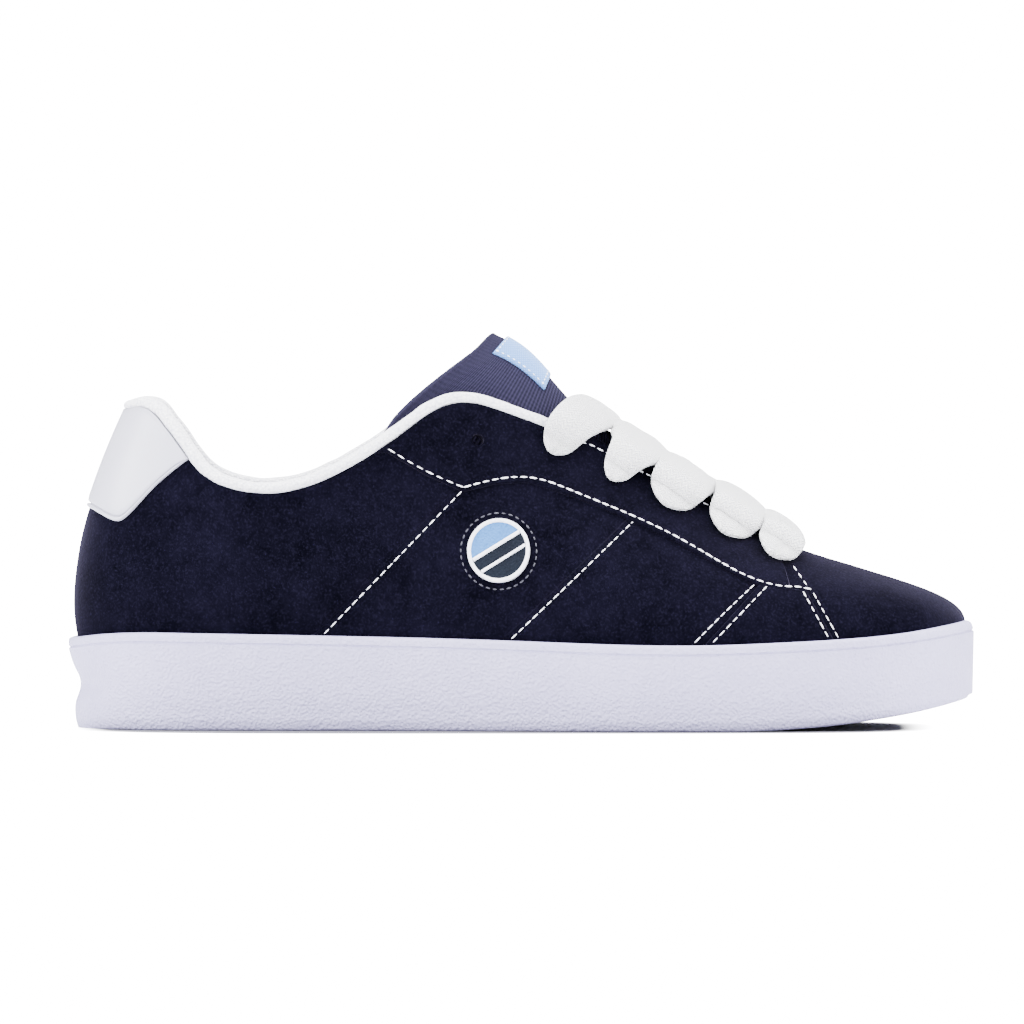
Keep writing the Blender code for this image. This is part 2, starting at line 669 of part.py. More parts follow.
def make_label(finish, collection):
    """The woven label folded over the front of the tongue, below its top."""
    middle = 0.80
    length = np.linalg.norm(tongue_point(middle + 1e-3, 0) - tongue_point(middle - 1e-3, 0)) / 2e-3
    s = np.linspace(-0.5, 0.5, 5)[:, None] * LABEL_LENGTH / length + middle
    c = np.linspace(-0.42, 0.42, 11)[None, :]
    grid = tongue_point(s, c) + tongue_normal(s, c) * CLEAR
    made = place("tongue_label", sheet("tongue_label", grid), finish, collection)
    thicken(made, LABEL_THICKNESS, 1)


# The badge's face, from its back to its sunk field: shares of its radius and of its thickness.
Ring = namedtuple("Ring", "radius height")
BADGE = [
    Ring(0.10, 0.0),
    Ring(0.55, 0.0),
    Ring(1.00, 0.0),
    Ring(1.00, 0.75),
    Ring(0.95, 1.0),
    Ring(0.88, 1.0),
    Ring(0.84, 0.7),
    Ring(0.45, 0.7),
    Ring(0.08, 0.7),
]
BADGE_ALONG = 0.475
BADGE_UP = 0.531


def make_badge(finish, collection):
    """The moulded rubber badge on the outer quarter."""
    angle = np.arange(24) * 2 * math.pi / 24
    rings = []
    for row in BADGE:
        x = BADGE_ALONG * LENGTH + row.radius * BADGE_RADIUS * np.cos(angle)
        z = BADGE_UP * INSTEP_HEIGHT + row.radius * BADGE_RADIUS * np.sin(angle)
        t, v = find(x, z, -1)
        rings.append(off_upper(t, v, 1.5 * CLEAR + row.height * BADGE_THICKNESS))
    place("badge", solids("badge", [(rings, flat_end)]), finish, collection)


# The eyelets seen from the side: shares of the length and of the instep's height. The top one is unused.
Eyelet = namedtuple("Eyelet", "along height")
EYELETS = [
    Eyelet(0.451, 0.856),
    Eyelet(0.541, 0.835),
    Eyelet(0.604, 0.757),
    Eyelet(0.664, 0.678),
    Eyelet(0.725, 0.600),
    Eyelet(0.782, 0.525),
]
THROAT_SLOPE = math.radians(35)
ALONG_THROAT = np.array((math.cos(THROAT_SLOPE), 0.0, -math.sin(THROAT_SLOPE)))
OFF_THROAT = np.array((math.sin(THROAT_SLOPE), 0.0, math.cos(THROAT_SLOPE)))
# How square a bar's arch is: 0 is a box, 1 an ellipse.
ARCH = 0.7
# How far to each side of the ridge a crossing strand starts, as a share of half a bar's length.
CROSSING = 0.25


def eyelet_spot(row, side):
    return find(row.along * LENGTH, row.height * INSTEP_HEIGHT, side)


def eyelet_bores(collection):
    """Round cutters through the wall and its overlay, one at each eyelet."""
    bodies = []
    angle = np.arange(8) * 2 * math.pi / 8
    for side in (-1, 1):
        for row in EYELETS:
            t, v = eyelet_spot(row, side)
            axis = upper_normal(t, v)
            across = unit(np.cross(axis, UP))
            rise = np.cross(across, axis)
            hole = [across * math.cos(a) * EYELET_BORE / 2 + rise * math.sin(a) * EYELET_BORE / 2 for a in angle]
            centre = upper_point(t, v)
            ends = (centre - axis * 3 * WALL, centre + axis * 4 * OVERLAY)
            bodies.append(([[end + p for p in hole] for end in ends], flat_end))
    made = place("eyelet_bores", solids("eyelet_bores", bodies), bpy.data.materials[0], collection)
    made.hide_render = True
    made.display_type = "WIRE"
    return made


def lace_arch(row):
    """The foot's middle, half width and height of a bar's arch over the throat's edges and the tongue."""
    off = OVERLAY + 3 * CLEAR + LACE_THICKNESS / 2
    ends = [off_upper(*eyelet_spot(row, side), off) + OFF_THROAT * LACE_THICKNESS / 4 for side in (-1, 1)]
    centre = (ends[0] + ends[1]) / 2
    half = (ends[1] - ends[0])[1] / 2

    def height_over(points, gap, under):
        points = points[np.abs((points - centre) @ ALONG_THROAT) < LACE_WIDTH / 2 * under]
        share = (1 - np.minimum(np.abs(points[:, 1]) / half, 0.9)**2)**(ARCH / 2)
        return np.max(((points - centre) @ OFF_THROAT + gap + LACE_THICKNESS / 2) / share)

    ridge = tongue_point(np.linspace(0, 1, 300)[:, None], np.linspace(-0.4, 0.4, 5)).reshape(-1, 3)
    rounds = np.linspace(0.04, 0.45, 200)
    edges = np.concatenate([off_upper(t, np.ones(200), OVERLAY) for t in (rounds, 1 - rounds)])
    return centre, half, max(height_over(ridge, 2 * CLEAR, 0.6), height_over(edges, 3 * CLEAR, 1.0))


def arch_point(arch, across):
    """A point of a bar's middle line, at a share of the way from its centre to its inner end."""
    centre, half, height = arch
    return centre + (0, half * across, 0) + OFF_THROAT * height * (1 - across**2)**(ARCH / 2)


def lace_strand(path, flat, widths, thickness):
    """The rings of a flat band along a path; flat is the direction of its width."""
    rings = []
    for point, ahead, width in zip(path, unit(np.gradient(path, axis=0)), widths):
        normal = np.cross(ahead, flat)
        ring = []
        for a in np.arange(8) * 2 * math.pi / 8:
            edge = math.copysign(abs(math.cos(a))**0.7, math.cos(a))
            ring.append(point + flat * width / 2 * edge + normal * thickness / 2 * math.sin(a))
        rings.append(ring)
    return rings


def make_laces(finish, collection, cutters):
    """Five bars side by side, joined by the strands that cross from each to the next over the tongue."""
    arches = [lace_arch(row) for row in EYELETS[1:]]
    across = np.sin(np.linspace(-0.97, 0.97, 11) * math.pi / 2)
    widths = LACE_WIDTH * (0.85 + 0.4 * across**2 - 0.8 * across**6)
    strands = []
    for arch in arches:
        path = np.array([arch_point(arch, a) for a in across])
        strands.append(lace_strand(path, ALONG_THROAT, widths, LACE_THICKNESS))
    for below, above in zip(arches[1:], arches):
        path = np.linspace(arch_point(below, -CROSSING), arch_point(above, CROSSING), 3)
        flat = unit(np.cross(OFF_THROAT, path[-1] - path[0]))
        strands.append(lace_strand(path, flat, [LACE_WIDTH / 2] * 3, LACE_THICKNESS * 0.75))
    laces = place("laces", solids("laces", [(strands[0], flat_end)]), finish, collection)
    for i, rings in enumerate(strands[1:]):
        strand = place(f"lace_strand_{i}", solids(f"lace_strand_{i}", [(rings, flat_end)]), finish, cutters)
        strand.hide_render = True
        strand.display_type = "WIRE"
        cut(laces, strand, "UNION")


def main():
    for old in list(bpy.data.objects):
        bpy.data.objects.remove(old)
    parts = bpy.data.collections.new("skateboarding_shoe")
    cutters = bpy.data.collections.new("cutters")
    bpy.context.scene.collection.children.link(parts)
    bpy.context.scene.collection.children.link(cutters)
    rubber = material("white rubber", (0.66, 0.66, 0.76), 0.55)
    suede = material("navy suede", (0.011, 0.010, 0.032), 0.95)
    leather = material("white leather", (0.78, 0.78, 0.82), 0.45)
    ribbed = material("navy ribbed fabric", (0.035, 0.034, 0.10), 0.85)
    towelling = material("white towelling", (0.80, 0.80, 0.85), 0.95)
    lining = material("pale lining", (0.60, 0.60, 0.63), 0.9)
    woven = material("light blue woven label", (0.38, 0.55, 0.77), 0.8)
    moulded = material("light blue moulded rubber", (0.37, 0.54, 0.73), 0.5)
    knitted = material("white knitted lace", (0.82, 0.82, 0.86), 0.9)
    make_sole(rubber, parts, cutters)
    make_insole(lining, parts)
    bores = eyelet_bores(cutters)
    make_upper(suede, parts, bores)
    make_eyestays(suede, parts, bores)
    make_patches(suede, parts)
    make_heel_tab(leather, parts)
    make_collar_roll(towelling, parts)
    make_tongue(ribbed, parts)
    make_label(woven, parts)
    make_badge(moulded, parts)
    make_laces(knitted, parts, cutters)


main()
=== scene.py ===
import math
from functools import partial

import bmesh
import bpy
import numpy as np
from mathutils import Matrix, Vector, noise
from mathutils.kdtree import KDTree


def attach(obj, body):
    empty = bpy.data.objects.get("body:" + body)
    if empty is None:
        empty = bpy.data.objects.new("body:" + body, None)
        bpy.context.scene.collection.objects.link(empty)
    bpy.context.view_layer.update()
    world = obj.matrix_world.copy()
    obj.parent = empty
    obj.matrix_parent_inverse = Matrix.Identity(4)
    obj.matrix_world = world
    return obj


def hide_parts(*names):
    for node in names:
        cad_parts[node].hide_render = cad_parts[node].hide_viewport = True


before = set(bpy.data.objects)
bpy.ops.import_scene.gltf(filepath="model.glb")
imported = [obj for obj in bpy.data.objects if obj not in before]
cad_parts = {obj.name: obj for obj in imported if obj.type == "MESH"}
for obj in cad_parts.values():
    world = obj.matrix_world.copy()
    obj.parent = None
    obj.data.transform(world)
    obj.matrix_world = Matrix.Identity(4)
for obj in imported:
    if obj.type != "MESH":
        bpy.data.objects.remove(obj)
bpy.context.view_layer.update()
print("frame loaded")


def linear(hexColour):
    parts = [int(hexColour[i:i + 2], 16) / 255 for i in (1, 3, 5)]
    return tuple(c / 12.92 if c <= 0.04045 else ((c + 0.055) / 1.055)**2.4 for c in parts) + (1.0,)


def addNode(tree, kind, inputs=None, **settings):
    # an input gets a value, a socket or a node, whose first output it takes
    node = tree.nodes.new(kind)
    for name, value in settings.items():
        setattr(node, name, value)
    for socket, value in (inputs or {}).items():
        value = value.outputs[0] if isinstance(value, bpy.types.Node) else value
        if isinstance(value, bpy.types.NodeSocket):
            tree.links.new(value, node.inputs[socket])
        else:
            node.inputs[socket].default_value = value
    return node


def startMaterial(name, sockets):
    made = bpy.data.materials.new(name)
    made.use_nodes = True
    made.node_tree.nodes.clear()
    add = partial(addNode, made.node_tree)
    add("ShaderNodeOutputMaterial", {"Surface": add("ShaderNodeBsdfPrincipled", sockets)})
    return made, add, add("ShaderNodeTexCoord").outputs


def finishMaterial(made, share, colours, height, strength, distance, **settings):
    # two colours mixed by a share, and the relief; the first colour may be an earlier mix
    tree = made.node_tree
    shader = tree.nodes["Principled BSDF"].inputs
    first, second = (linear(c) if isinstance(c, str) else c for c in colours)
    tint = addNode(tree, "ShaderNodeMix", {0: share, 6: first, 7: second}, data_type="RGBA")
    bump = addNode(tree, "ShaderNodeBump", {"Height": height, "Strength": strength, "Distance": distance}, **settings)
    tree.links.new(tint.outputs[2], shader["Base Color"])
    tree.links.new(bump.outputs[0], shader["Normal"])
    return made


def unit(vectors):
    return vectors / np.linalg.norm(vectors, axis=-1, keepdims=True)


def smooth(low, high, at):
    u = np.clip((np.asarray(at, float) - low) / (high - low), 0, 1)
    return u * u * (3 - 2 * u)


def raised(flat, height):
    return np.concatenate([flat, np.asarray(height, float)[..., None]], -1)


def runAlong(path):
    # how far each point of a path is from its start
    return np.concatenate([[0], np.cumsum(np.linalg.norm(np.diff(path, axis=0), axis=1))])


def anglesOf(count):
    return np.arange(count) * 2 * math.pi / count


def placed(name, data):
    made = bpy.data.objects.new(name, data)
    bpy.context.scene.collection.objects.link(made)
    return made


def spline(xs, ys, period=0.0):
    # a smooth curve through the rows, closed where it has a period
    xs = np.asarray(xs, float)
    ys = np.asarray(ys, float).reshape(len(xs), -1)
    if period:
        xs = np.append(xs, xs[0] + period)
        ys = np.vstack([ys, ys[:1]])
    count = len(xs)
    step = np.diff(xs)
    rise = np.diff(ys, axis=0) / step[:, None]
    system = np.zeros((count, count))
    right = np.zeros((count, ys.shape[1]))
    for i in range(1, count - 1):
        system[i, i - 1:i + 2] = 1 / step[i - 1], 2 / step[i - 1] + 2 / step[i], 1 / step[i]
        right[i] = 3 * (rise[i - 1] / step[i - 1] + rise[i] / step[i])
    if period:
        system[0, [0, 1]] = 2 / step[0], 1 / step[0]
        system[0, [-1, -2]] = 2 / step[-1], 1 / step[-1]
        right[0] = 3 * (rise[0] / step[0] + rise[-1] / step[-1])
        system[-1, [0, -1]] = 1, -1
    else:
        system[0, [0, 1]] = 2, 1
        right[0] = 3 * rise[0]
        system[-1, [-1, -2]] = 2, 1
        right[-1] = 3 * rise[-1]
    slope = np.linalg.solve(system, right)

    def value(at):
        at = np.asarray(at, float)
        if period:
            at = (at - xs[0]) % period + xs[0]
        at = np.clip(at, xs[0], xs[-1])
        i = np.clip(np.searchsorted(xs, at, side="right") - 1, 0, count - 2)
        h = step[i][..., None]
        u = (at - xs[i])[..., None] / h
        bend = (2 * u**3 - 3 * u**2 + 1) * ys[i] + (3 * u**2 - 2 * u**3) * ys[i + 1]
        return bend + h * ((u**3 - 2 * u**2 + u) * slope[i] + (u**3 - u**2) * slope[i + 1])

    return value


# the last: the same curves as the solids, so that every piece sits where they are

shoe = {
    "length": 0.298, "ball": 0.110, "waist": 0.082, "heel": 0.080,
    "edge": 0.030, "toeSpring": 0.0094, "springFrom": 0.72, "floorHeel": 0.020, "floorBall": 0.0125,
    "lip": 0.0027, "tuck": 0.0030, "wall": 0.0022, "overlay": 0.0012, "clear": 0.0003,
    "vamp": 0.0595, "instep": 0.1108, "dip": 0.0816, "heelTop": 0.1087,
    "collarWidth": 0.074, "throatWidth": 0.040, "rollHeight": 0.0037, "rollDepth": 0.0068,
    "solidRibs": 64,
}
# along, ball, waist, heel, top along, collar, throat, lean, rise, crown, reach; from the toe by the outer side
lastRows = [
    (1.000, 0.05, 0.00, 0.00, 0.799, 0.00, 0.00, -6, 0.15, 18, 0.60),
    (0.970, -0.45, 0.00, 0.00, 0.798, 0.00, -0.18, -3, 0.18, 18, 0.57),
    (0.923, -0.69, 0.00, 0.00, 0.795, 0.00, -0.34, 0, 0.23, 19, 0.51),
    (0.856, -0.865, 0.00, 0.00, 0.786, 0.00, -0.50, 3, 0.28, 21, 0.46),
    (0.772, -0.965, 0.00, 0.00, 0.761, 0.00, -0.67, 5, 0.32, 26, 0.42),
    (0.671, -1.00, 0.00, 0.00, 0.695, 0.00, -0.84, 6, 0.34, 35, 0.38),
    (0.570, -0.72, -0.33, 0.00, 0.607, 0.00, -0.95, 6, 0.34, 47, 0.36),
    (0.470, -0.26, -0.82, 0.00, 0.517, -0.22, -0.70, 6, 0.33, 59, 0.34),
    (0.369, 0.00, -1.07, 0.00, 0.430, -0.76, 0.00, 8, 0.32, 68, 0.33),
    (0.268, 0.00, -0.34, -0.715, 0.342, -0.92, 0.00, 10, 0.32, 72, 0.33),
    (0.168, 0.00, 0.00, -1.025, 0.235, -1.00, 0.00, 12, 0.32, 73, 0.33),
    (0.084, 0.00, 0.00, -0.875, 0.148, -0.86, 0.00, 14, 0.30, 69, 0.33),
    (0.024, 0.00, 0.00, -0.500, 0.086, -0.47, 0.00, 14, 0.30, 65, 0.32),
    (0.000, 0.00, 0.00, 0.000, 0.0655, 0.00, 0.00, 13, 0.29, 65, 0.32),
    (0.024, 0.00, 0.00, 0.485, 0.086, 0.47, 0.00, 14, 0.30, 65, 0.32),
    (0.084, 0.00, 0.00, 0.830, 0.148, 0.86, 0.00, 14, 0.30, 69, 0.33),
    (0.168, 0.00, 0.00, 0.975, 0.235, 1.00, 0.00, 11, 0.32, 73, 0.33),
    (0.268, 0.00, 0.31, 0.650, 0.342, 0.92, 0.00, 8, 0.32, 72, 0.33),
    (0.369, 0.00, 0.91, 0.000, 0.430, 0.76, 0.00, 6, 0.32, 68, 0.33),
    (0.470, 0.22, 0.66, 0.000, 0.517, 0.22, 0.70, 5, 0.33, 59, 0.34),
    (0.570, 0.62, 0.31, 0.000, 0.607, 0.00, 0.95, 5, 0.34, 47, 0.36),
    (0.671, 0.97, 0.00, 0.000, 0.695, 0.00, 0.84, 5, 0.34, 35, 0.38),
    (0.772, 0.985, 0.00, 0.000, 0.761, 0.00, 0.67, 4, 0.32, 26, 0.42),
    (0.856, 0.92, 0.00, 0.000, 0.786, 0.00, 0.50, 2, 0.28, 21, 0.46),
    (0.923, 0.765, 0.00, 0.000, 0.795, 0.00, 0.34, -1, 0.23, 19, 0.51),
    (0.970, 0.545, 0.00, 0.000, 0.798, 0.00, 0.18, -4, 0.18, 18, 0.57),
]
# along, and shares of the heights of vamp, instep, dip and heel
topRows = [
    (0.0655, 0, 0, 0.03, 0.97), (0.076, 0, 0, 0, 1), (0.091, 0, 0, 0.01, 0.99), (0.106, 0, 0, 0.125, 0.875),
    (0.128, 0, 0, 0.445, 0.555), (0.159, 0, 0, 0.82, 0.18), (0.190, 0, 0, 0.97, 0.03), (0.232, 0, 0, 1, 0),
    (0.278, 0, 0.13, 0.87, 0), (0.322, 0, 0.37, 0.63, 0), (0.363, 0, 0.65, 0.35, 0), (0.400, 0, 0.91, 0.09, 0),
    (0.440, 0, 1, 0, 0), (0.490, 0.08, 0.92, 0, 0), (0.530, 0.17, 0.83, 0, 0), (0.619, 0.44, 0.56, 0, 0),
    (0.708, 0.72, 0.28, 0, 0), (0.799, 1, 0, 0, 0),
]
edgeRows = [(0.00, 0.990), (0.03, 1.037), (0.12, 1.067), (0.27, 1.043), (0.50, 0.987), (0.70, 0.945),
            (0.80, 0.980), (0.92, 1.060), (1.00, 1.175)]

length = shoe["length"]
rowCurves = spline(
    np.arange(len(lastRows)) / len(lastRows),
    [[r[0] * length, (r[1] * shoe["ball"] + r[2] * shoe["waist"] + r[3] * shoe["heel"]) / 2, r[4] * length,
      (r[5] * shoe["collarWidth"] + r[6] * shoe["throatWidth"]) / 2,
      math.radians(r[7]), r[8], math.radians(r[9]), r[10]] for r in lastRows], period=1.0)
topCurve = spline([r[0] * length for r in topRows],
                  [np.dot(r[1:], [shoe[k] for k in ("vamp", "instep", "dip", "heelTop")]) for r in topRows])
edgeCurve = spline([r[0] * length for r in edgeRows], [r[1] * shoe["edge"] for r in edgeRows])
upward = np.array((0.0, 0.0, 1.0))


def edgeHeight(x):
    return edgeCurve(x)[..., 0]


def ground(x):
    start = shoe["springFrom"]
    return shoe["toeSpring"] * np.clip((x / length - start) / (1 - start), 0, 1)**2


def cupFloor(x):
    drop = shoe["floorHeel"] - shoe["floorBall"]
    return ground(x) + shoe["floorBall"] + drop * (1 - smooth(0.25, 0.6, x / length))


def outline(t, inset=0.0):
    here = rowCurves(t)[..., :2]
    ahead = rowCurves(np.asarray(t) + 1e-4)[..., :2] - rowCurves(np.asarray(t) - 1e-4)[..., :2]
    inward = unit(np.stack([ahead[..., 1], -ahead[..., 0]], -1))
    return here + inward * np.asarray(inset)[..., None]


solidRing = outline(np.arange(shoe["solidRibs"]) / shoe["solidRibs"])
middle = np.append((solidRing.min(axis=0) + solidRing.max(axis=0)) / 2, 0.0)


def topHeight(x):
    return topCurve(x)[..., 0]


def rollShare(x):
    return 1 - smooth(0.535 * length, 0.58 * length, x)


def topEdge(t):
    rows = rowCurves(t)
    x = rows[..., 2]
    slope = (topHeight(x + 1e-4) - topHeight(x - 1e-4)) / 2e-4
    lowered = shoe["rollHeight"] * rollShare(x) * np.sqrt(1 + np.minimum(slope**2, 1.2))
    return raised(rows[..., 2:4], topHeight(x) - lowered)


def upperPoint(t, v):
    # v runs from -1 at the upper's foot in the cup, past 0 at the cup's edge, to 1 on top
    t, v = np.broadcast_arrays(t, v)
    rows = rowCurves(t)
    along = outline(t)[..., 0]
    inset = shoe["lip"] + shoe["clear"]
    foot = raised(outline(t, inset + shoe["tuck"]), cupFloor(along) + shoe["clear"])
    rim = raised(outline(t, inset), edgeHeight(along))
    top = topEdge(t)
    span = top - rim
    size = np.linalg.norm(span, axis=-1, keepdims=True)
    level = unit(span * (1, 1, 0))
    outward = raised(outline(t, -1.0) - outline(t), np.zeros(t.shape))
    lean, rise, crown, reach = (rows[..., i, None] for i in range(4, 8))
    low = rim + rise * size * (np.cos(lean) * upward + np.sin(lean) * outward)
    high = top - reach * size * (np.cos(crown) * level + np.sin(crown) * upward)
    u = np.clip(v, 0, 1)[..., None]
    wall = (1 - u)**3 * rim + 3 * (1 - u)**2 * u * low + 3 * (1 - u) * u**2 * high + u**3 * top
    return wall + (foot - rim) * np.clip(-v, 0, 1)[..., None]


def upperNormal(t, v, step=2e-3):
    t, v = np.broadcast_arrays(t, v)
    across = upperPoint(t + step / 4, v) - upperPoint(t - step / 4, v)
    rising = upperPoint(t, np.clip(v + step, -1, 1)) - upperPoint(t, np.clip(v - step, -1, 1))
    return unit(np.cross(rising, across))


def offUpper(t, v, height):
    return upperPoint(t, v) + upperNormal(t, v) * np.asarray(height)[..., None]


def riseTo(t, inside):
    # for each section, how far up its wall comes inside a border
    low, high = np.zeros(len(t)), np.ones(len(t))
    for _ in range(30):
        between = (low + high) / 2
        within = inside(upperPoint(t, between))
        high = np.where(within, between, high)
        low = np.where(within, low, between)
    return high


def findOnUpper(x, z, side):
    # t and v of the points that show at x, z from the outer side, -1, or the inner, 1
    x, z = np.broadcast_arrays(x, z)
    t, v = np.meshgrid(0.5 + side * np.linspace(0.02, 0.48, 47), np.linspace(0.02, 0.98, 25), indexing="ij")
    t, v = t.ravel(), v.ravel()
    seen = upperPoint(t, v)
    nearest = np.argmin((seen[:, 0] - x[..., None])**2 + (seen[:, 2] - z[..., None])**2, axis=-1)
    t, v = t[nearest], v[nearest]
    step = 1e-4
    for _ in range(12):
        short = np.stack([x, z], -1) - upperPoint(t, v)[..., [0, 2]]
        byT = (upperPoint(t + step, v) - upperPoint(t - step, v))[..., [0, 2]] / (2 * step)
        byV = (upperPoint(t, v + step) - upperPoint(t, v - step))[..., [0, 2]] / (2 * step)
        area = byT[..., 0] * byV[..., 1] - byT[..., 1] * byV[..., 0]
        t = t + (short[..., 0] * byV[..., 1] - short[..., 1] * byV[..., 0]) / area
        v = np.clip(v + (short[..., 1] * byT[..., 0] - short[..., 0] * byT[..., 1]) / area, 0, 1)
    return t, v


def meshPiece(name, points, faces, materials, uv=None, slots=None):
    mesh = bpy.data.meshes.new(name)
    mesh.from_pydata((np.asarray(points).reshape(-1, 3) - middle).tolist(), [], faces)
    for finish in materials:
        mesh.materials.append(finish)
    if slots is not None:
        mesh.polygons.foreach_set("material_index", slots)
    if uv is not None:
        corners = np.zeros(len(mesh.loops), int)
        mesh.loops.foreach_get("vertex_index", corners)
        mesh.uv_layers.new(name="clothMap").data.foreach_set("uv", np.asarray(uv).reshape(-1, 2)[corners].ravel())
    mesh.shade_smooth()
    return placed(name, mesh)


def gridFaces(rows, columns, closedRows=False, closedColumns=False, start=0, flip=False):
    faces = []
    for i in range(rows if closedRows else rows - 1):
        for j in range(columns if closedColumns else columns - 1):
            k, m = (i + 1) % rows, (j + 1) % columns
            face = (i * columns + j, i * columns + m, k * columns + m, k * columns + j)
            faces.append(tuple(start + f for f in (face[::-1] if flip else face)))
    return faces


def slab(name, front, back, materials, uv=None):
    # a closed piece between two equal grids of points
    rows, columns = front.shape[:2]
    count = rows * columns
    faces = gridFaces(rows, columns) + gridFaces(rows, columns, start=count, flip=True)
    rim = [(0, j) for j in range(columns)] + [(i, columns - 1) for i in range(1, rows)]
    rim += [(rows - 1, j) for j in range(columns - 2, -1, -1)] + [(i, 0) for i in range(rows - 2, 0, -1)]
    rim = [i * columns + j for i, j in rim]
    faces += [(b, a, a + count, b + count) for a, b in zip(rim, rim[1:] + rim[:1])]
    if uv is not None:
        uv = np.concatenate([uv.reshape(-1, 2)] * 2)
    points = np.concatenate([front.reshape(-1, 3), back.reshape(-1, 3)])
    return turnedOut(meshPiece(name, points, faces, materials, uv))


def coveredRings(name, rings, finish):
    # a closed piece through rings round the shoe, its ends covered by rungs from the outer side to the inner
    count, around = np.shape(rings)[:2]
    faces = gridFaces(count, around, closedColumns=True)
    for start in (0, (count - 1) * around):
        for i in range(around // 2):
            rung = dict.fromkeys((i, i + 1, around - i - 1, (around - i) % around))
            faces.append(tuple(start + k for k in rung))
    return turnedOut(meshPiece(name, rings, faces, [finish]))


def tubeFaces(count, around, start=0):
    # a closed tube through rings of points
    last = start + (count - 1) * around
    ends = [tuple(range(start, start + around))[::-1], tuple(range(last, last + around))]
    return gridFaces(count, around, closedColumns=True, start=start) + ends


def turnedOut(piece):
    work = bmesh.new()
    work.from_mesh(piece.data)
    bmesh.ops.recalc_face_normals(work, faces=work.faces)
    work.to_mesh(piece.data)
    work.free()
    return piece


def settled(piece):
    # the piece with its modifiers made real
    made = bpy.data.meshes.new_from_object(piece.evaluated_get(bpy.context.evaluated_depsgraph_get()))
    piece.modifiers.clear()
    piece.data = made
    return piece


def cutWith(piece, tool):
    cut = piece.modifiers.new("cut", "BOOLEAN")
    cut.object = tool
    cut.operation = "DIFFERENCE"
    settled(piece)
    piece.data.set_sharp_from_angle(angle=math.radians(50))


def puffed(piece, cloth):
    # foam under cloth: a coarse copy swells under pressure, and the fine mesh follows it
    scene = bpy.context.scene
    coarse = placed("coarse", piece.data.copy())
    voxels = coarse.modifiers.new("voxels", "REMESH")
    voxels.mode = "VOXEL"
    voxels.voxel_size = cloth["voxel"]
    settled(coarse)
    start = np.array([v.co for v in coarse.data.vertices])
    held = coarse.vertex_groups.new(name="held")
    held.add(np.nonzero(start[:, 2] < cloth["heldBelow"])[0].tolist(), 1.0, "REPLACE")
    sim = coarse.modifiers.new("cloth", "CLOTH")
    for key, value in cloth["settings"].items():
        setattr(sim.settings, key, value)
    sim.settings.effector_weights.gravity = 0
    sim.settings.vertex_group_mass = "held"
    sim.point_cache.frame_start, sim.point_cache.frame_end = 1, cloth["frames"]
    for now in range(1, cloth["frames"] + 1):
        scene.frame_set(now)
    done = coarse.evaluated_get(bpy.context.evaluated_depsgraph_get()).to_mesh()
    move = np.array([v.co for v in done.vertices]) - start
    size = np.linalg.norm(move, axis=1, keepdims=True)
    print(piece.name, "cloth moved", round(float(size.mean()) * 1000, 2), "to",
          round(float(size.max()) * 1000, 2), "mm")
    move *= np.minimum(1, cloth["cap"] / np.maximum(size, 1e-9))
    coarse.modifiers.clear()
    bpy.data.objects.remove(coarse)
    scene.frame_set(1)
    tree = KDTree(len(start))
    for i, point in enumerate(start):
        tree.insert(point, i)
    tree.balance()
    for vertex in piece.data.vertices:
        near = tree.find_n(vertex.co, 8)
        weight = np.array([1 / (d + cloth["voxel"] / 4)**2 for _, _, d in near])
        vertex.co += Vector(weight @ move[[i for _, i, _ in near]] / weight.sum())


def dress(piece, slotName, *nodes):
    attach(piece, "root")
    if nodes:
        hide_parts(*nodes)
    return piece


def margin(count, size, edges):
    # shares of a length with fine steps in from both ends; edges are those steps in metres
    near = np.array(edges) / max(size, 4 * edges[-1])
    return np.concatenate([near, np.linspace(near[-1], 1 - near[-1], count)[1:-1], 1 - near[::-1]])


# materials

suedeLook = {
    "deep": "#020205", "nap": "#090812", "bright": "#1a1828", "sheen": "#9690b0",
    # size in mm, detail, roughness and distortion of the patches, of the brushing and of the fibres: real fibres
    # are 0.2 mm and are drawn coarser, to show
    "noises": [(22.0, 3.0, 0.55, 0.0), (4.5, 4.0, 0.65, 0.6), (0.75, 2.0, 0.6, 0.0)],
    # the edges of the panels that lap over each other, from their top to the sole
    "laps": [((129.9, 79.1), (84.6, 32.1)), ((187.0, 69.8), (145.9, 30.5))],
    "lapFrom": -0.0022, "lapTo": -0.0016, "lapHigh": 2.2,
}


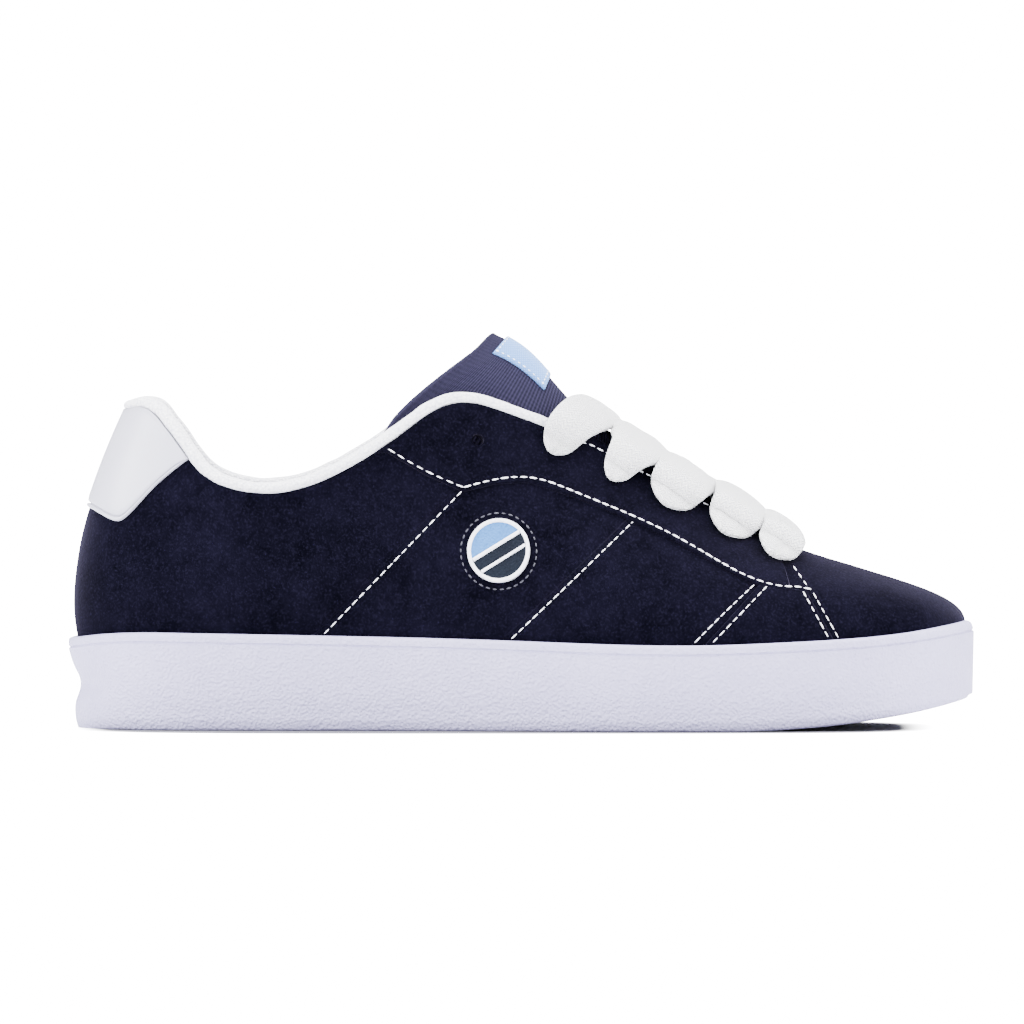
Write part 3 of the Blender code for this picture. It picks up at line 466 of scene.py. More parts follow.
def makeSuede(name, laps):
    # Suede: split leather, brushed. The nap takes light unevenly and turns paler at a grazing angle.
    look = suedeLook
    made, add, coords = startMaterial(name, {
        "Roughness": 0.95, "Specular IOR Level": 0.0, "Sheen Weight": 0.14, "Sheen Roughness": 0.38,
        "Sheen Tint": linear(look["sheen"])})
    place = coords["Object"]
    patches, brushed, fibres = (
        add("ShaderNodeTexNoise", {"Vector": place, "Scale": 1000 / size, "Detail": detail, "Roughness": rough,
                                   "Distortion": bent}).outputs["Fac"] for size, detail, rough, bent in look["noises"])
    mottle = add("ShaderNodeMath", {0: patches, 1: brushed}, operation="ADD")
    share = add("ShaderNodeMapRange", {0: mottle, 1: 0.65, 2: 1.35})
    base = add("ShaderNodeMix", {0: share, 6: linear(look["deep"]), 7: linear(look["nap"])}, data_type="RGBA")
    speck = add("ShaderNodeMapRange", {0: fibres, 1: 0.50, 2: 0.85, 4: 0.5})
    steps = add("ShaderNodeMath", {0: fibres, 1: 0.35}, operation="MULTIPLY")
    for high, low in laps:
        # the step down at a lapped panel's edge: how far in front of the slanted line a point is
        front = unit(np.array([high[1] - low[1], 0, low[0] - high[0]]))
        line = float(front @ (np.array([high[0], 0, high[1]]) / 1000 - middle))
        ahead = add("ShaderNodeVectorMath", {0: place, 1: tuple(front)}, operation="DOT_PRODUCT").outputs["Value"]
        lap = add("ShaderNodeMapRange", {0: ahead, 1: line + look["lapFrom"], 2: line + look["lapTo"],
                                         4: look["lapHigh"]}, interpolation_type="SMOOTHSTEP")
        steps = add("ShaderNodeMath", {0: steps, 1: lap}, operation="ADD")
    return finishMaterial(made, speck, (base.outputs[2], look["bright"]), steps, 0.6, 0.0006)


def makeRubber(name, colours, grainMm, roughness, gloss):
    # Moulded rubber: pale, with a soft shine and the mould's fine grain.
    made, add, coords = startMaterial(name, {"Roughness": roughness, "Specular IOR Level": gloss})
    place = coords["Object"]
    grain = add("ShaderNodeTexVoronoi", {"Vector": place, "Scale": 1000 / grainMm}, feature="SMOOTH_F1")
    cloud = add("ShaderNodeTexNoise", {"Vector": place, "Scale": 60.0, "Detail": 5.0, "Roughness": 0.6})
    share = add("ShaderNodeMapRange", {0: cloud.outputs["Fac"], 1: 0.35, 2: 0.70})
    return finishMaterial(made, share, colours, grain.outputs["Distance"], 0.9, 0.0006)


def makeLeather(name, colours, pebbleMm):
    # Corrected full-grain leather, painted white: smooth, with a faint pebble.
    made, add, coords = startMaterial(name, {
        "Roughness": 0.42, "IOR": 1.5, "Coat Weight": 0.12, "Coat Roughness": 0.35})
    place = coords["Object"]
    pebble = add("ShaderNodeTexVoronoi", {"Vector": place, "Scale": 1000 / pebbleMm}, feature="SMOOTH_F1")
    cloud = add("ShaderNodeTexNoise", {"Vector": place, "Scale": 90.0, "Detail": 4.0})
    return finishMaterial(made, cloud.outputs["Fac"], colours, pebble.outputs["Distance"], 0.18, 0.0002)


def makePile(name, colours, loopMm, depth):
    # Looped cotton pile: small round loops, with painted shade between them where they would shade each other.
    made, add, coords = startMaterial(name, {
        "Roughness": 0.95, "Sheen Weight": 0.3, "Sheen Roughness": 0.5, "Specular IOR Level": 0.2})
    loops = add("ShaderNodeTexVoronoi", {"Vector": coords["Object"], "Scale": 1000 / loopMm, "Randomness": 0.8})
    far = loops.outputs["Distance"]
    # the colour darkens away from each loop's middle: painted shade between the loops
    return finishMaterial(made, far, colours, far, 0.9, depth, invert=True)


def makeRibbed(name, colours, ribMm, yarnMm):
    # Ribbed nylon over foam: fine raised ribs across the tongue, with a little real sheen, and a colour painted
    # lighter on the ribs' tops (painted sheen) and darker between them (painted shade).
    made, add, coords = startMaterial(name, {
        "Roughness": 0.8, "Specular IOR Level": 0.05, "Sheen Weight": 0.05, "Sheen Roughness": 0.4,
        "Sheen Tint": linear("#7c7cb0")})
    cloth = add("ShaderNodeSeparateXYZ", {0: coords["UV"]}).outputs  # in metres: across the tongue and along it
    waves = []
    for along, size in ((cloth[1], ribMm), (cloth[0], yarnMm)):
        turns = add("ShaderNodeMath", {0: along, 1: 2000 * math.pi / size}, operation="MULTIPLY")
        waves.append(add("ShaderNodeMath", {0: turns}, operation="SINE"))
    rough = add("ShaderNodeTexNoise", {"Vector": coords["Object"], "Scale": 700.0, "Detail": 3.0})
    weave = add("ShaderNodeMath", {0: waves[1], 1: 0.25, 2: waves[0]}, operation="MULTIPLY_ADD")
    height = add("ShaderNodeMath", {0: rough.outputs["Fac"], 1: 0.8, 2: weave}, operation="MULTIPLY_ADD")
    # the colour follows the relief: a painted highlight on the ribs' tops, painted shade in the grooves
    share = add("ShaderNodeMapRange", {0: height, 1: -0.7, 2: 1.6})
    return finishMaterial(made, share, colours, height, 0.5, 0.00025)


def makeKnit(name, colours, waleMm, courseMm, depth):
    # Knitted cotton tape: rows of small V stitches along the lace, a little hairy, with painted shade in the hollows
    # of the knit.
    made, add, coords = startMaterial(name, {
        "Roughness": 0.92, "Sheen Weight": 0.35, "Sheen Roughness": 0.5, "Specular IOR Level": 0.2})
    cloth = add("ShaderNodeSeparateXYZ", {0: coords["UV"]}).outputs
    wale = add("ShaderNodeMath", {0: cloth[0], 1: waleMm / 1000}, operation="DIVIDE")
    zigzag = add("ShaderNodeMath", {0: wale, 1: 1.0}, operation="PINGPONG")
    slanted = add("ShaderNodeMath", {0: zigzag, 1: waleMm / 1000 * 0.9, 2: cloth[1]}, operation="MULTIPLY_ADD")
    turns = add("ShaderNodeMath", {0: slanted, 1: 2000 * math.pi / courseMm}, operation="MULTIPLY")
    loops = add("ShaderNodeMath", {0: turns}, operation="SINE")
    fuzz = add("ShaderNodeTexNoise", {"Vector": coords["Object"], "Scale": 1300.0, "Detail": 3.0})
    height = add("ShaderNodeMath", {0: fuzz.outputs["Fac"], 1: 1.4, 2: loops}, operation="MULTIPLY_ADD")
    # the colour follows the relief: the first colour is painted shade in the hollows
    share = add("ShaderNodeMapRange", {0: height, 1: -0.6, 2: 1.4})
    return finishMaterial(made, share, colours, height, 0.9, depth)


def makeWoven(name, colours, threadMm):
    # Woven cloth: two sets of threads at right angles.
    made, add, coords = startMaterial(name, {
        "Roughness": 0.85, "Sheen Weight": 0.25, "Sheen Roughness": 0.5, "Specular IOR Level": 0.25})
    scale = 100 * math.pi / threadMm  # the wave texture has 10 waves in pi units
    one, two = (add("ShaderNodeTexWave", {"Vector": coords["Object"], "Scale": scale, "Distortion": 0.4},
                    bands_direction=way) for way in ("X", "Z"))
    both = add("ShaderNodeMath", {0: one.outputs["Fac"], 1: two.outputs["Fac"]}, operation="MULTIPLY")
    return finishMaterial(made, both, colours, both, 0.4, 0.0002)


def makeThread(name, colours):
    # Bonded polyester thread: smooth, slightly shiny, with a fine twist.
    made, add, coords = startMaterial(name, {"Roughness": 0.55, "Sheen Weight": 0.2})
    twist = add("ShaderNodeTexNoise", {"Vector": coords["Object"], "Scale": 1500.0, "Detail": 2.0}).outputs["Fac"]
    return finishMaterial(made, twist, colours, twist, 0.4, 0.0001)


suede = makeSuede("brushed suede leather", [])
lappedSuede = makeSuede("brushed suede leather, lapped panels", suedeLook["laps"])
soleRubber = makeRubber("moulded white rubber", ("#a6a2c6", "#9f9bc0"), 0.9, 0.5, 0.4)
leather = makeLeather("smooth coated leather", ("#b0b0be", "#a7a7b6"), 0.9)
# white loops, and a grey that is the painted shade between them
towelling = makePile("looped cotton towelling", ("#ffffff", "#c4c4d4"), 1.0, 0.0007)
# dark navy in the grooves as painted shade, lighter on the ribs' tops as a painted highlight
ribbed = makeRibbed("ribbed nylon fabric", ("#100f1d", "#252236"), 0.85, 0.9)
# the first colour is the painted shade in the knit's hollows, the second the white tops
laceKnit = makeKnit("knitted cotton tape", ("#e2e2ec", "#ffffff"), 1.2, 1.0, 0.0005)
lining = makeWoven("woven polyester lining", ("#b9b9c6", "#dedee6"), 0.9)
labelCloth = makeWoven("woven satin label", ("#4370b0", "#6c96cf"), 0.7)
whiteThread = makeThread("white bonded thread", ("#f3f3f8", "#d9d9e4"))
darkThread = makeThread("grey bonded thread", ("#29293c", "#191926"))
badgeWhite = makeRubber("moulded white soft plastic", ("#ececf5", "#e2e2ee"), 0.7, 0.45, 0.4)
badgeBlue = makeRubber("moulded light blue soft plastic", ("#3f6fa8", "#3a69a2"), 0.7, 0.6, 0.04)
badgeSlate = makeRubber("moulded slate soft plastic", ("#141820", "#11141b"), 0.7, 0.6, 0.02)
print("materials made")

# camera, lights and floor

view = {"distance": 8.0, "mmPerPixel": 0.3278, "pixels": 1024, "elevation": 1.3,
        "centre": (-0.0031, -0.030, 0.0715), "sensorMm": 36.0, "farEnd": 50.0}
lights = {  # name: (place, size in metres, watts)
    "key": ((-0.6, -1.7, 1.4), 1.6, 92.0),
    "fill": ((1.2, -1.5, 0.7), 1.4, 38.0),
    "top": ((0.1, 0.1, 1.9), 1.8, 192.0),
    "heelSide": ((-1.9, -0.5, 0.7), 1.0, 96.0),
    "toeSide": ((1.8, 0.0, 1.2), 1.0, 85.0),
}
room = {"half": 6.0, "back": 10.0, "bend": 1.2, "height": 4.0, "sky": 0.9,
        "glow": 18.0, "under": (0.130, 0.066), "shift": 0.006, "full": 1.12, "lampsAt": (0, 0, 0.05),
        "paper": ("#5a5a62", "#f2f2f6")}  # a painted shadow round and under the shoe, and the paper's own colour away from it


def aimed(thing, place, direction):
    thing.location = place
    thing.rotation_euler = direction.to_track_quat("-Z", "Y").to_euler()


def makeStudio():
    scene = bpy.context.scene
    camera = placed("camera", bpy.data.cameras.new("camera"))
    camera.data.sensor_width = view["sensorMm"]
    camera.data.lens = view["sensorMm"] * view["distance"] / (view["pixels"] * view["mmPerPixel"] / 1000)
    camera.data.clip_end = view["farEnd"]
    up = math.radians(view["elevation"])
    back = Vector((0, -math.cos(up), math.sin(up)))
    aimed(camera, Vector(view["centre"]) + back * view["distance"], -back)
    scene.camera = camera
    for name, (place, size, watts) in lights.items():
        lamp = placed(name, bpy.data.lights.new(name, "AREA"))
        lamp.data.size = size
        lamp.data.energy = watts
        aimed(lamp, place, Vector(room["lampsAt"]) - Vector(place))
    scene.world = bpy.data.worlds.new("studio")
    scene.world.use_nodes = True
    sky = scene.world.node_tree
    looked = addNode(sky, "ShaderNodeLightPath").outputs["Is Camera Ray"]
    bright = addNode(sky, "ShaderNodeMapRange", {0: looked, 3: room["sky"], 4: room["glow"]})
    air = sky.nodes["Background"].inputs
    air["Color"].default_value = (1, 1, 1, 1)
    sky.links.new(bright.outputs[0], air["Strength"])
    # paper that bends up behind the shoe; it glows for the camera only, and not under the shoe, where its colour is a
    # painted shadow
    profile = [(-room["half"], 0.0)]
    profile += [(room["back"] + room["bend"] * math.sin(a), room["bend"] * (1 - math.cos(a)))
                for a in np.linspace(0, math.pi / 2, 12)]
    profile += [(room["back"] + room["bend"], room["height"])]
    points = [[(x, y, z) for y, z in profile] for x in (-room["half"], room["half"])]
    made, add, coords = startMaterial("pale paper floor", {"Roughness": 0.9, "Emission Color": (1, 1, 1, 1)})
    apart = add("ShaderNodeSeparateXYZ", {0: coords["Object"]}).outputs
    parts = []
    for place, shift, half in zip(apart, (room["shift"], 0.0), room["under"]):
        moved = add("ShaderNodeMath", {0: place, 1: shift}, operation="ADD")
        share = add("ShaderNodeMath", {0: moved, 1: half}, operation="DIVIDE")
        parts.append(add("ShaderNodeMath", {0: share, 1: 4.0}, operation="POWER"))
    both = add("ShaderNodeMath", {0: parts[0], 1: parts[1]}, operation="ADD")
    away = add("ShaderNodeMath", {0: both, 1: 0.25}, operation="POWER")
    outside = add("ShaderNodeMapRange", {0: away, 1: 1.0, 2: room["full"]}, interpolation_type="SMOOTHSTEP")
    seen = add("ShaderNodeLightPath").outputs["Is Camera Ray"]
    only = add("ShaderNodeMath", {0: outside, 1: seen}, operation="MULTIPLY")
    glow = add("ShaderNodeMath", {0: only, 1: room["glow"]}, operation="MULTIPLY")
    papers = made.node_tree
    papers.links.new(glow.outputs[0], papers.nodes["Principled BSDF"].inputs["Emission Strength"])
    fibre = add("ShaderNodeTexNoise", {"Vector": coords["Object"], "Scale": 400.0}).outputs["Fac"]
    # the same mask paints the paper dark round and under the shoe: a painted shadow
    finishMaterial(made, outside, room["paper"], fibre, 0.05, 0.0002)
    meshPiece("floor", np.array(points) + middle, gridFaces(2, len(profile), flip=True), [made])


makeStudio()
print("studio made")

# the cup sole

soleLook = {
    "ribs": 448, "rings": 34, "bevel": 0.0032, "recess": 0.0036, "recessWidth": 0.052,
    "lineDrop": 0.0032, "lineDepth": 0.00045, "toeRound": 0.0022, "toeRoundHigh": 0.0050,
    "treads": [(0.07, 0.31), (0.58, 0.93)], "treadPitch": 0.0150, "treadWave": 0.0050,
    "treadDepth": 0.0018, "treadGroove": 0.0024, "treadRim": 0.0120,
    "corner": 0.06, "cornerIn": 0.55,  # the rounded bottom corner: its share of the height, its inset
    "toeFlat": 0.7,  # how much less the side curves in round the toe
    # height, inset, inset at the heel
    "side": [(0.00, 1.00, 0.90), (0.06, 0.55, 0.72), (0.16, 0.40, 0.60), (0.30, 0.32, 0.68), (0.41, 0.26, 1.00),
             (0.57, 0.18, 0.95), (0.67, 0.12, 0.55), (0.85, 0.03, 0.05)],
}


def treadCutter(finish):
    look = soleLook
    points, faces = [], []
    sides = {side: outline(0.5 + side * np.linspace(0.0, 0.5, 400)) for side in (-1, 1)}
    for start, end in look["treads"]:
        for x in np.linspace(start * length, end * length, max(2, round((end - start) * length / look["treadPitch"]))):
            outer = np.interp(x, *sides[-1].T) + look["treadRim"]
            inner = np.interp(x, *sides[1].T) - look["treadRim"]
            turns = max(2, round((inner - outer) / look["treadPitch"]))
            first = len(points)
            for k, y in enumerate(np.linspace(outer, inner, turns + 1)):
                here = x + look["treadWave"] / 2 * (-1)**k
                high = ground(x) + look["treadDepth"]
                front, back = here + look["treadGroove"] / 2, here - look["treadGroove"] / 2
                points += [(back, y, -0.002), (front, y, -0.002), (front, y, high), (back, y, high)]
            faces += tubeFaces(turns + 1, 4, first)
    return turnedOut(meshPiece("treadCutter", points, faces, [finish]))


def makeSole():
    look = soleLook
    t = np.arange(look["ribs"]) / look["ribs"]
    along, across = outline(t).T
    low, high = ground(along), edgeHeight(along)
    atHeel = (1 - smooth(0.30, 0.60, np.abs(across) / look["recessWidth"])) * (along < length / 4)
    atToe = smooth(0.93, 0.985, along / length)
    shape = spline([s[0] for s in look["side"]], [s[1:] for s in look["side"]])
    rings = []
    for share in np.concatenate([[0, 0.01, 0.025, 0.045], np.linspace(0.07, 0.85, look["rings"])]):
        inset, heelInset = shape(share)
        if share < look["corner"]:
            rounding = 1 - math.sqrt(1 - (1 - share / look["corner"])**2)
            inset = look["cornerIn"] + (1 - look["cornerIn"]) * rounding
        inset = inset * (1 - look["toeFlat"] * atToe * (share > look["corner"]))
        setIn = inset * look["bevel"] * (1 - atHeel) + heelInset * look["recess"] * atHeel
        rings.append(raised(outline(t, setIn), low + share * (high - low)))
    drop, deep, lip = look["lineDrop"], look["lineDepth"], shoe["lip"]
    for below, setIn in ((drop + deep, 0), (drop + deep / 2, deep * 0.8), (drop, deep), (drop - deep / 2, deep * 0.7),
                         (drop - deep, 0), (drop / 2, 0), (lip / 3, 0), (lip / 8, lip / 12), (0, lip / 3), (0, lip)):
        lift = look["toeRound"] * (1 - math.sqrt(1 - max(0, 1 - below / look["toeRoundHigh"])**2))
        rings.append(raised(outline(t, setIn + lift * atToe), high - below))
    rings.append(raised(outline(t, lip + shoe["tuck"] / 2), (high + cupFloor(along)) / 2))
    rings.append(raised(outline(t, lip + shoe["tuck"]), cupFloor(along)))
    sole = coveredRings("sole_cup", rings, soleRubber)
    cutter = treadCutter(soleRubber)
    cutWith(sole, cutter)
    bpy.data.objects.remove(cutter)
    dress(sole, "sole_rubber", "sole")


insoleLook = {
    "ribs": 256, "thick": 0.004,
    # metres in from the edge, share of the thickness
    "profile": [(0, 0), (0, 0.6), (0.0003, 0.85), (0.0012, 1.0), (0.004, 1.0), (0.012, 0.97), (0.020, 0.96)],
}


def makeInsole():
    look = insoleLook
    t = np.arange(look["ribs"]) / look["ribs"]
    bed = cupFloor(outline(t)[:, 0]) + shoe["clear"]
    inset = shoe["lip"] + shoe["tuck"] + shoe["wall"] + 3 * shoe["clear"]
    rings = [raised(outline(t, np.full(len(t), inset + i)), bed + share * look["thick"])
             for i, share in look["profile"]]
    dress(coveredRings("sockliner", rings, lining), "lining", "insole")


makeSole()
makeInsole()
print("sole made")

# the upper and what is sewn on it

upperLook = {"ribs": 432, "rows": 64, "innerRows": 26, "wrinkleMm": 26.0, "wrinkle": 0.0005}
eyelets = {
    "bore": 0.0042, "around": 20,
    # along, and the share of the instep's height
    "top": [(0.451, 0.856), (0.541, 0.835), (0.604, 0.757), (0.664, 0.678), (0.725, 0.600), (0.782, 0.525)],
}
# the eyestay's lower seam: along, and shares of the vamp's and the instep's heights
seamRows = [
    (0.353, 0.0, 0.832), (0.395, 0.0, 0.765), (0.436, 0.0, 0.716), (0.470, 0.0, 0.738), (0.508, 0.0, 0.743),
    (0.560, 0.0, 0.698), (0.628, 0.0, 0.6205), (0.667, 0.0, 0.5695), (0.700, 0.494, 0.254), (0.757, 0.82, 0.0),
    (0.790, 0.782, 0.0), (0.850, 0.74, 0.0),
]
seamLine = [(r[0] * length, r[1] * shoe["vamp"] + r[2] * shoe["instep"]) for r in seamRows]
panel = {
    "thick": 0.00125, "sunk": -0.0003, "beyond": 0.0013, "front": 0.817, "lean": 38.0,
    "rows": 16, "crowd": 0.5, "ends": 0.4,
    # the rounded cut edge: metres in, and height
    "edge": [0, 0.00015, 0.0004, 0.0008, 0.0014], "height": [0.0005625, 0.0009375, 0.00115, 0.00125, 0.00125],
}


def seamHeight(x):
    return np.interp(x, *zip(*seamLine))


def eyeletSpot(row, side):
    return findOnUpper(row[0] * length, row[1] * shoe["instep"], side)


def boreCutter():
    points, faces = [], []
    around = eyelets["around"]
    for side in (-1, 1):
        for row in eyelets["top"]:
            t, v = eyeletSpot(row, side)
            axis = upperNormal(t, v)
            across = unit(np.cross(axis, upward))
            rise = np.cross(across, axis)
            ring = [(across * math.cos(a) + rise * math.sin(a)) * eyelets["bore"] / 2 for a in anglesOf(around)]
            faces += tubeFaces(2, around, len(points))
            for off in (-3 * shoe["wall"], 4 * shoe["overlay"]):
                points += [upperPoint(t, v) + axis * off + p for p in ring]
    return turnedOut(meshPiece("boreCutter", points, faces, [suede]))


def wrinkled(points, normals, amount, sizeMm, seed):
    # slow swells of the leather over the last
    moved = [noise.noise(Vector(p) * 1000 / sizeMm + Vector((seed, 0, 0))) for p in points.reshape(-1, 3)]
    return points + normals * (np.array(moved).reshape(points.shape[:-1]) * amount)[..., None]


def makeUpper(cutter):
    look = upperLook
    t = np.arange(look["ribs"])[:, None] / look["ribs"]
    v = np.concatenate([[-1, -0.5, 0], np.linspace(0, 1, look["rows"])[1:]])[None, :]
    normals = upperNormal(t, v)
    fade = smooth(0.0, 0.2, v) * (1 - smooth(0.85, 1.0, v))
    outer = wrinkled(upperPoint(t, v), normals, look["wrinkle"] * fade, look["wrinkleMm"], 3.0)
    inner = np.linspace(1, -1, look["innerRows"])[None, :]
    points = np.concatenate([outer, offUpper(t, inner, np.full(1, -shoe["wall"]))], axis=1)
    columns = points.shape[1]
    faces = gridFaces(look["ribs"], columns, closedRows=True, closedColumns=True)
    slots = [0 if k % columns < v.shape[1] - 1 else 1 for k in range(len(faces))]
    upper = turnedOut(meshPiece("suede_upper", points, faces, [lappedSuede, lining], slots=slots))
    cutWith(upper, cutter)
    dress(upper, "suede", "upper")


def panelSlab(name, t, v, height, finish):
    return slab(name, offUpper(t, v, height), offUpper(t, v, np.full(np.shape(height), panel["sunk"])), [finish])


def toTopSlab(name, t, inside, look, finish):
    # a panel from the border of inside to the top edge, with fine rows at the border
    low = riseTo(t, inside)
    speed = np.linalg.norm(upperPoint(t, np.minimum(low + 0.01, 1)) - upperPoint(t, low - 0.01), axis=1) / 0.02
    inward = np.array(look["edge"])
    near = np.minimum(inward / speed[:, None], (1 - low)[:, None] * inward / inward[-1] * look["crowd"])
    near += low[:, None]
    share = np.linspace(0, 1, look["rows"])[None, 1:]
    v = np.concatenate([near, near[:, -1:] * (1 - share) + share], axis=1)
    height = np.concatenate([look["height"], np.full(look["rows"] - 1, look["thick"])]) * np.ones((len(t), 1))
    height[[0, -1]] *= look["ends"]
    return panelSlab(name, t[:, None], v, height, finish)


def makeEyestays(cutter):
    def inEyestay(point):
        x, z = point[..., 0], point[..., 2]
        front = panel["front"] * length + panel["beyond"]
        front -= (z - seamHeight(front)) * math.tan(math.radians(panel["lean"]))
        return (z > seamHeight(x) - panel["beyond"]) & (x < front)

    for side, name in ((-1, "eyestay_outer"), (1, "eyestay_inner")):
        steps = 0.5 + side * np.linspace(0.1, 0.5, 1600)
        v = riseTo(steps, inEyestay)
        inside = steps[(v < 0.985) & inEyestay(upperPoint(steps, np.full(len(steps), 0.995)))]
        t = np.linspace(inside.min(), inside.max(), 210)
        stay = toTopSlab(f"{name}_suede", t, inEyestay, panel, suede)
        cutWith(stay, cutter)
        dress(stay, "suede", name)


patchLook = {"foot": (0.700, 0.843), "head": (0.762, 0.813), "width": 0.030, "height": 0.017, "thin": 0.85,
             "inCup": 0.0002, "gap": 0.0004}


def makePatches():
    look = patchLook
    for side, name in ((-1, "patch_outer"), (1, "patch_inner")):
        across = margin(30, look["width"], panel["edge"])[:, None]
        up = margin(22, look["height"], panel["edge"])[None, :]
        edge = np.interp(np.minimum(across, 1 - across) * look["width"], panel["edge"], panel["height"])
        height = edge * look["thin"] * np.ones(up.shape)
        along, top = (low + (high - low) * across for low, high in (look["foot"], look["head"]))
        x = (along * (1 - up) + top * up) * length
        low, high = edgeHeight(along * length) - look["inCup"], seamHeight(top * length) - look["gap"]
        t, v = findOnUpper(x, low * (1 - up) + high * up, side)
        dress(panelSlab(f"{name}_suede", t, v, height, suede), "suede", name)


def roundHeel(first, reach, count):
    # t of the sections round the heel, between the two where the top edge is this far from the back
    steps = np.linspace(first, 0.5, 900)
    start = steps[topEdge(steps)[:, 0] > reach * length][-1]
    return np.linspace(start, 1 - start, count)


tabLook = {
    "border": [(0.000, 0.905), (0.022, 0.915), (0.047, 1.005), (0.058, 1.02), (0.069, 0.96), (0.096, 0.74),
               (0.119, 0.59), (0.131, 0.52), (0.145, 0.45)],
    "drop": 0.0395, "reach": 0.1335, "thick": 0.00155, "ribs": 150, "rows": 20, "crowd": 0.6, "ends": 0.5,
    # the turned edge and the groove behind it: metres in from the border, and height
    "edge": [0, 0.0002, 0.0006, 0.0010, 0.0012, 0.0014, 0.0016, 0.0018, 0.0022, 0.0040],
    "height": [0.0006, 0.0011, 0.0014, 0.0014, 0.0010, 0.0003, 0.0003, 0.0010, 0.0014, 0.0016],
}


def makeHeelTab():
    look = tabLook
    border = spline([b[0] * length for b in look["border"]], [b[1] for b in look["border"]])

    def inTab(point):
        sideways = border(np.maximum(point[..., 0], 0))[..., 0]
        return point[..., 2] > shoe["heelTop"] - look["drop"] * sideways

    t = roundHeel(0.3, look["reach"], look["ribs"])
    dress(toTopSlab("heel_tab_leather", t, inTab, look, leather), "smooth_leather", "heel_tab")


collarLook = {"front": 0.555, "rings": 420, "around": 24, "sunk": 0.0001, "over": 0.0014, "square": 0.85,
              "puff": 1.04, "wrinkle": 0.00025, "wrinkleMm": 5.0, "slim": 0.45, "slimFrom": 0.28, "slimTo": 0.42}


def makeCollar():
    # the padded towelling binding, from lace to lace round the heel
    look = collarLook
    t = roundHeel(0.0, look["front"], look["rings"])
    path = topEdge(t)
    outward = unit(upperNormal(t, np.ones(len(t))) * (1, 1, 0))
    up = np.cross(unit(np.gradient(path, axis=0)), outward)
    up *= np.sign(up[:, 2:3])
    thick = np.clip(rollShare(path[:, 0]), 0.5, 1)[:, None] * shoe["rollHeight"] / 2
    narrow = 1 - look["slim"] * smooth(look["slimFrom"] * length, look["slimTo"] * length, path[:, 0])
    deep = narrow[:, None] * shoe["rollDepth"] / 2
    centre = path + up * (thick - look["sunk"]) - outward * (deep - look["over"])
    ring = []
    for a in anglesOf(look["around"]):
        side = math.copysign(abs(math.cos(a))**look["square"], math.cos(a))
        ring.append(centre + outward * deep * side + up * thick * look["puff"] * math.sin(a))
    rings = np.stack(ring, axis=1)
    rings = wrinkled(rings, unit(rings - centre[:, None]), look["wrinkle"], look["wrinkleMm"], 9.0)
    roll = turnedOut(meshPiece("collar_binding", rings, tubeFaces(*rings.shape[:2]), [towelling]))
    dress(roll, "towelling", "collar_roll")


cutter = boreCutter()
makeUpper(cutter)
makeEyestays(cutter)
bpy.data.objects.remove(cutter)
makePatches()
makeHeelTab()
makeCollar()
print("upper made")

# the tongue and its label

tongueLook = {
    "top": 0.1306, "width": 0.049, "long": 0.150, "pad": 0.0085, "edge": 0.0030, "flare": 0.0030,
    "rounded": 0.045,  # the share of its length that its top's rounding takes
    "cloth": {"voxel": 0.0028, "cap": 0.0012, "heldBelow": 0.078, "frames": 20,
              "settings": {"quality": 6, "mass": 0.1, "use_pressure": True, "uniform_pressure_force": 4.0}},
}
# along, shares of the vamp's and the tongue's height, wide, deep, turn, tilt
tongueRows = [
    (0.832, 0.895, 0.00, 0.33, 0.11, 50, 0), (0.805, 0.935, 0.00, 0.36, 0.19, 55, 0),
    (0.770, 1.040, 0.00, 0.40, 0.41, 58, 0), (0.720, 0.810, 0.19, 0.48, 0.66, 60, 0),
    (0.671, 0.590, 0.378, 0.54, 0.90, 60, 0), (0.611, 0.370, 0.560, 0.56, 1.04, 60, 2),
    (0.560, 0.180, 0.728, 0.54, 1.16, 64, 10), (0.512, 0.060, 0.905, 0.51, 1.16, 74, 30),
    (0.478, 0.000, 0.985, 0.50, 1.18, 82, 43), (0.468, 0.000, 1.000, 0.50, 1.18, 83, 45),
]
tongueCurves = spline(np.linspace(0, 1, len(tongueRows)), [
    [r[0] * length, r[1] * shoe["vamp"] + r[2] * tongueLook["top"], r[3] * tongueLook["width"],
     r[4] * tongueLook["width"], math.radians(r[5]), math.radians(r[6])] for r in tongueRows])


def tonguePoint(s, c):
    # s from its foot to its top, c from -1 on its outer edge to 1
    s, c = np.broadcast_arrays(s, c)
    x, z, wide, deep, turn, tilt = np.moveaxis(tongueCurves(s), -1, 0)
    drop = deep * (1 - np.cos(turn * c))
    flare = smooth(0.3, 0.87, np.abs(c)) * (1 - 0.7 * smooth(0.88, 1.05, np.abs(c)))
    flare = flare * tongueLook["flare"] * smooth(0.75, 0.95, s)
    return np.stack([x - drop * np.sin(tilt) - 0.7 * flare, wide * np.sin(turn * c),
                     z - drop * np.cos(tilt) + 0.7 * flare], -1)


def tongueNormal(s, c, step=1e-3):
    s, c = np.broadcast_arrays(s, c)
    along = tonguePoint(np.clip(s + step, 0, 1), c) - tonguePoint(np.clip(s - step, 0, 1), c)
    across = tonguePoint(s, c + step) - tonguePoint(s, c - step)
    return unit(np.cross(across, along))


def tongueLength(s):
    return np.linalg.norm(tonguePoint(s + 1e-3, 0) - tonguePoint(s - 1e-3, 0), axis=-1) / 2e-3


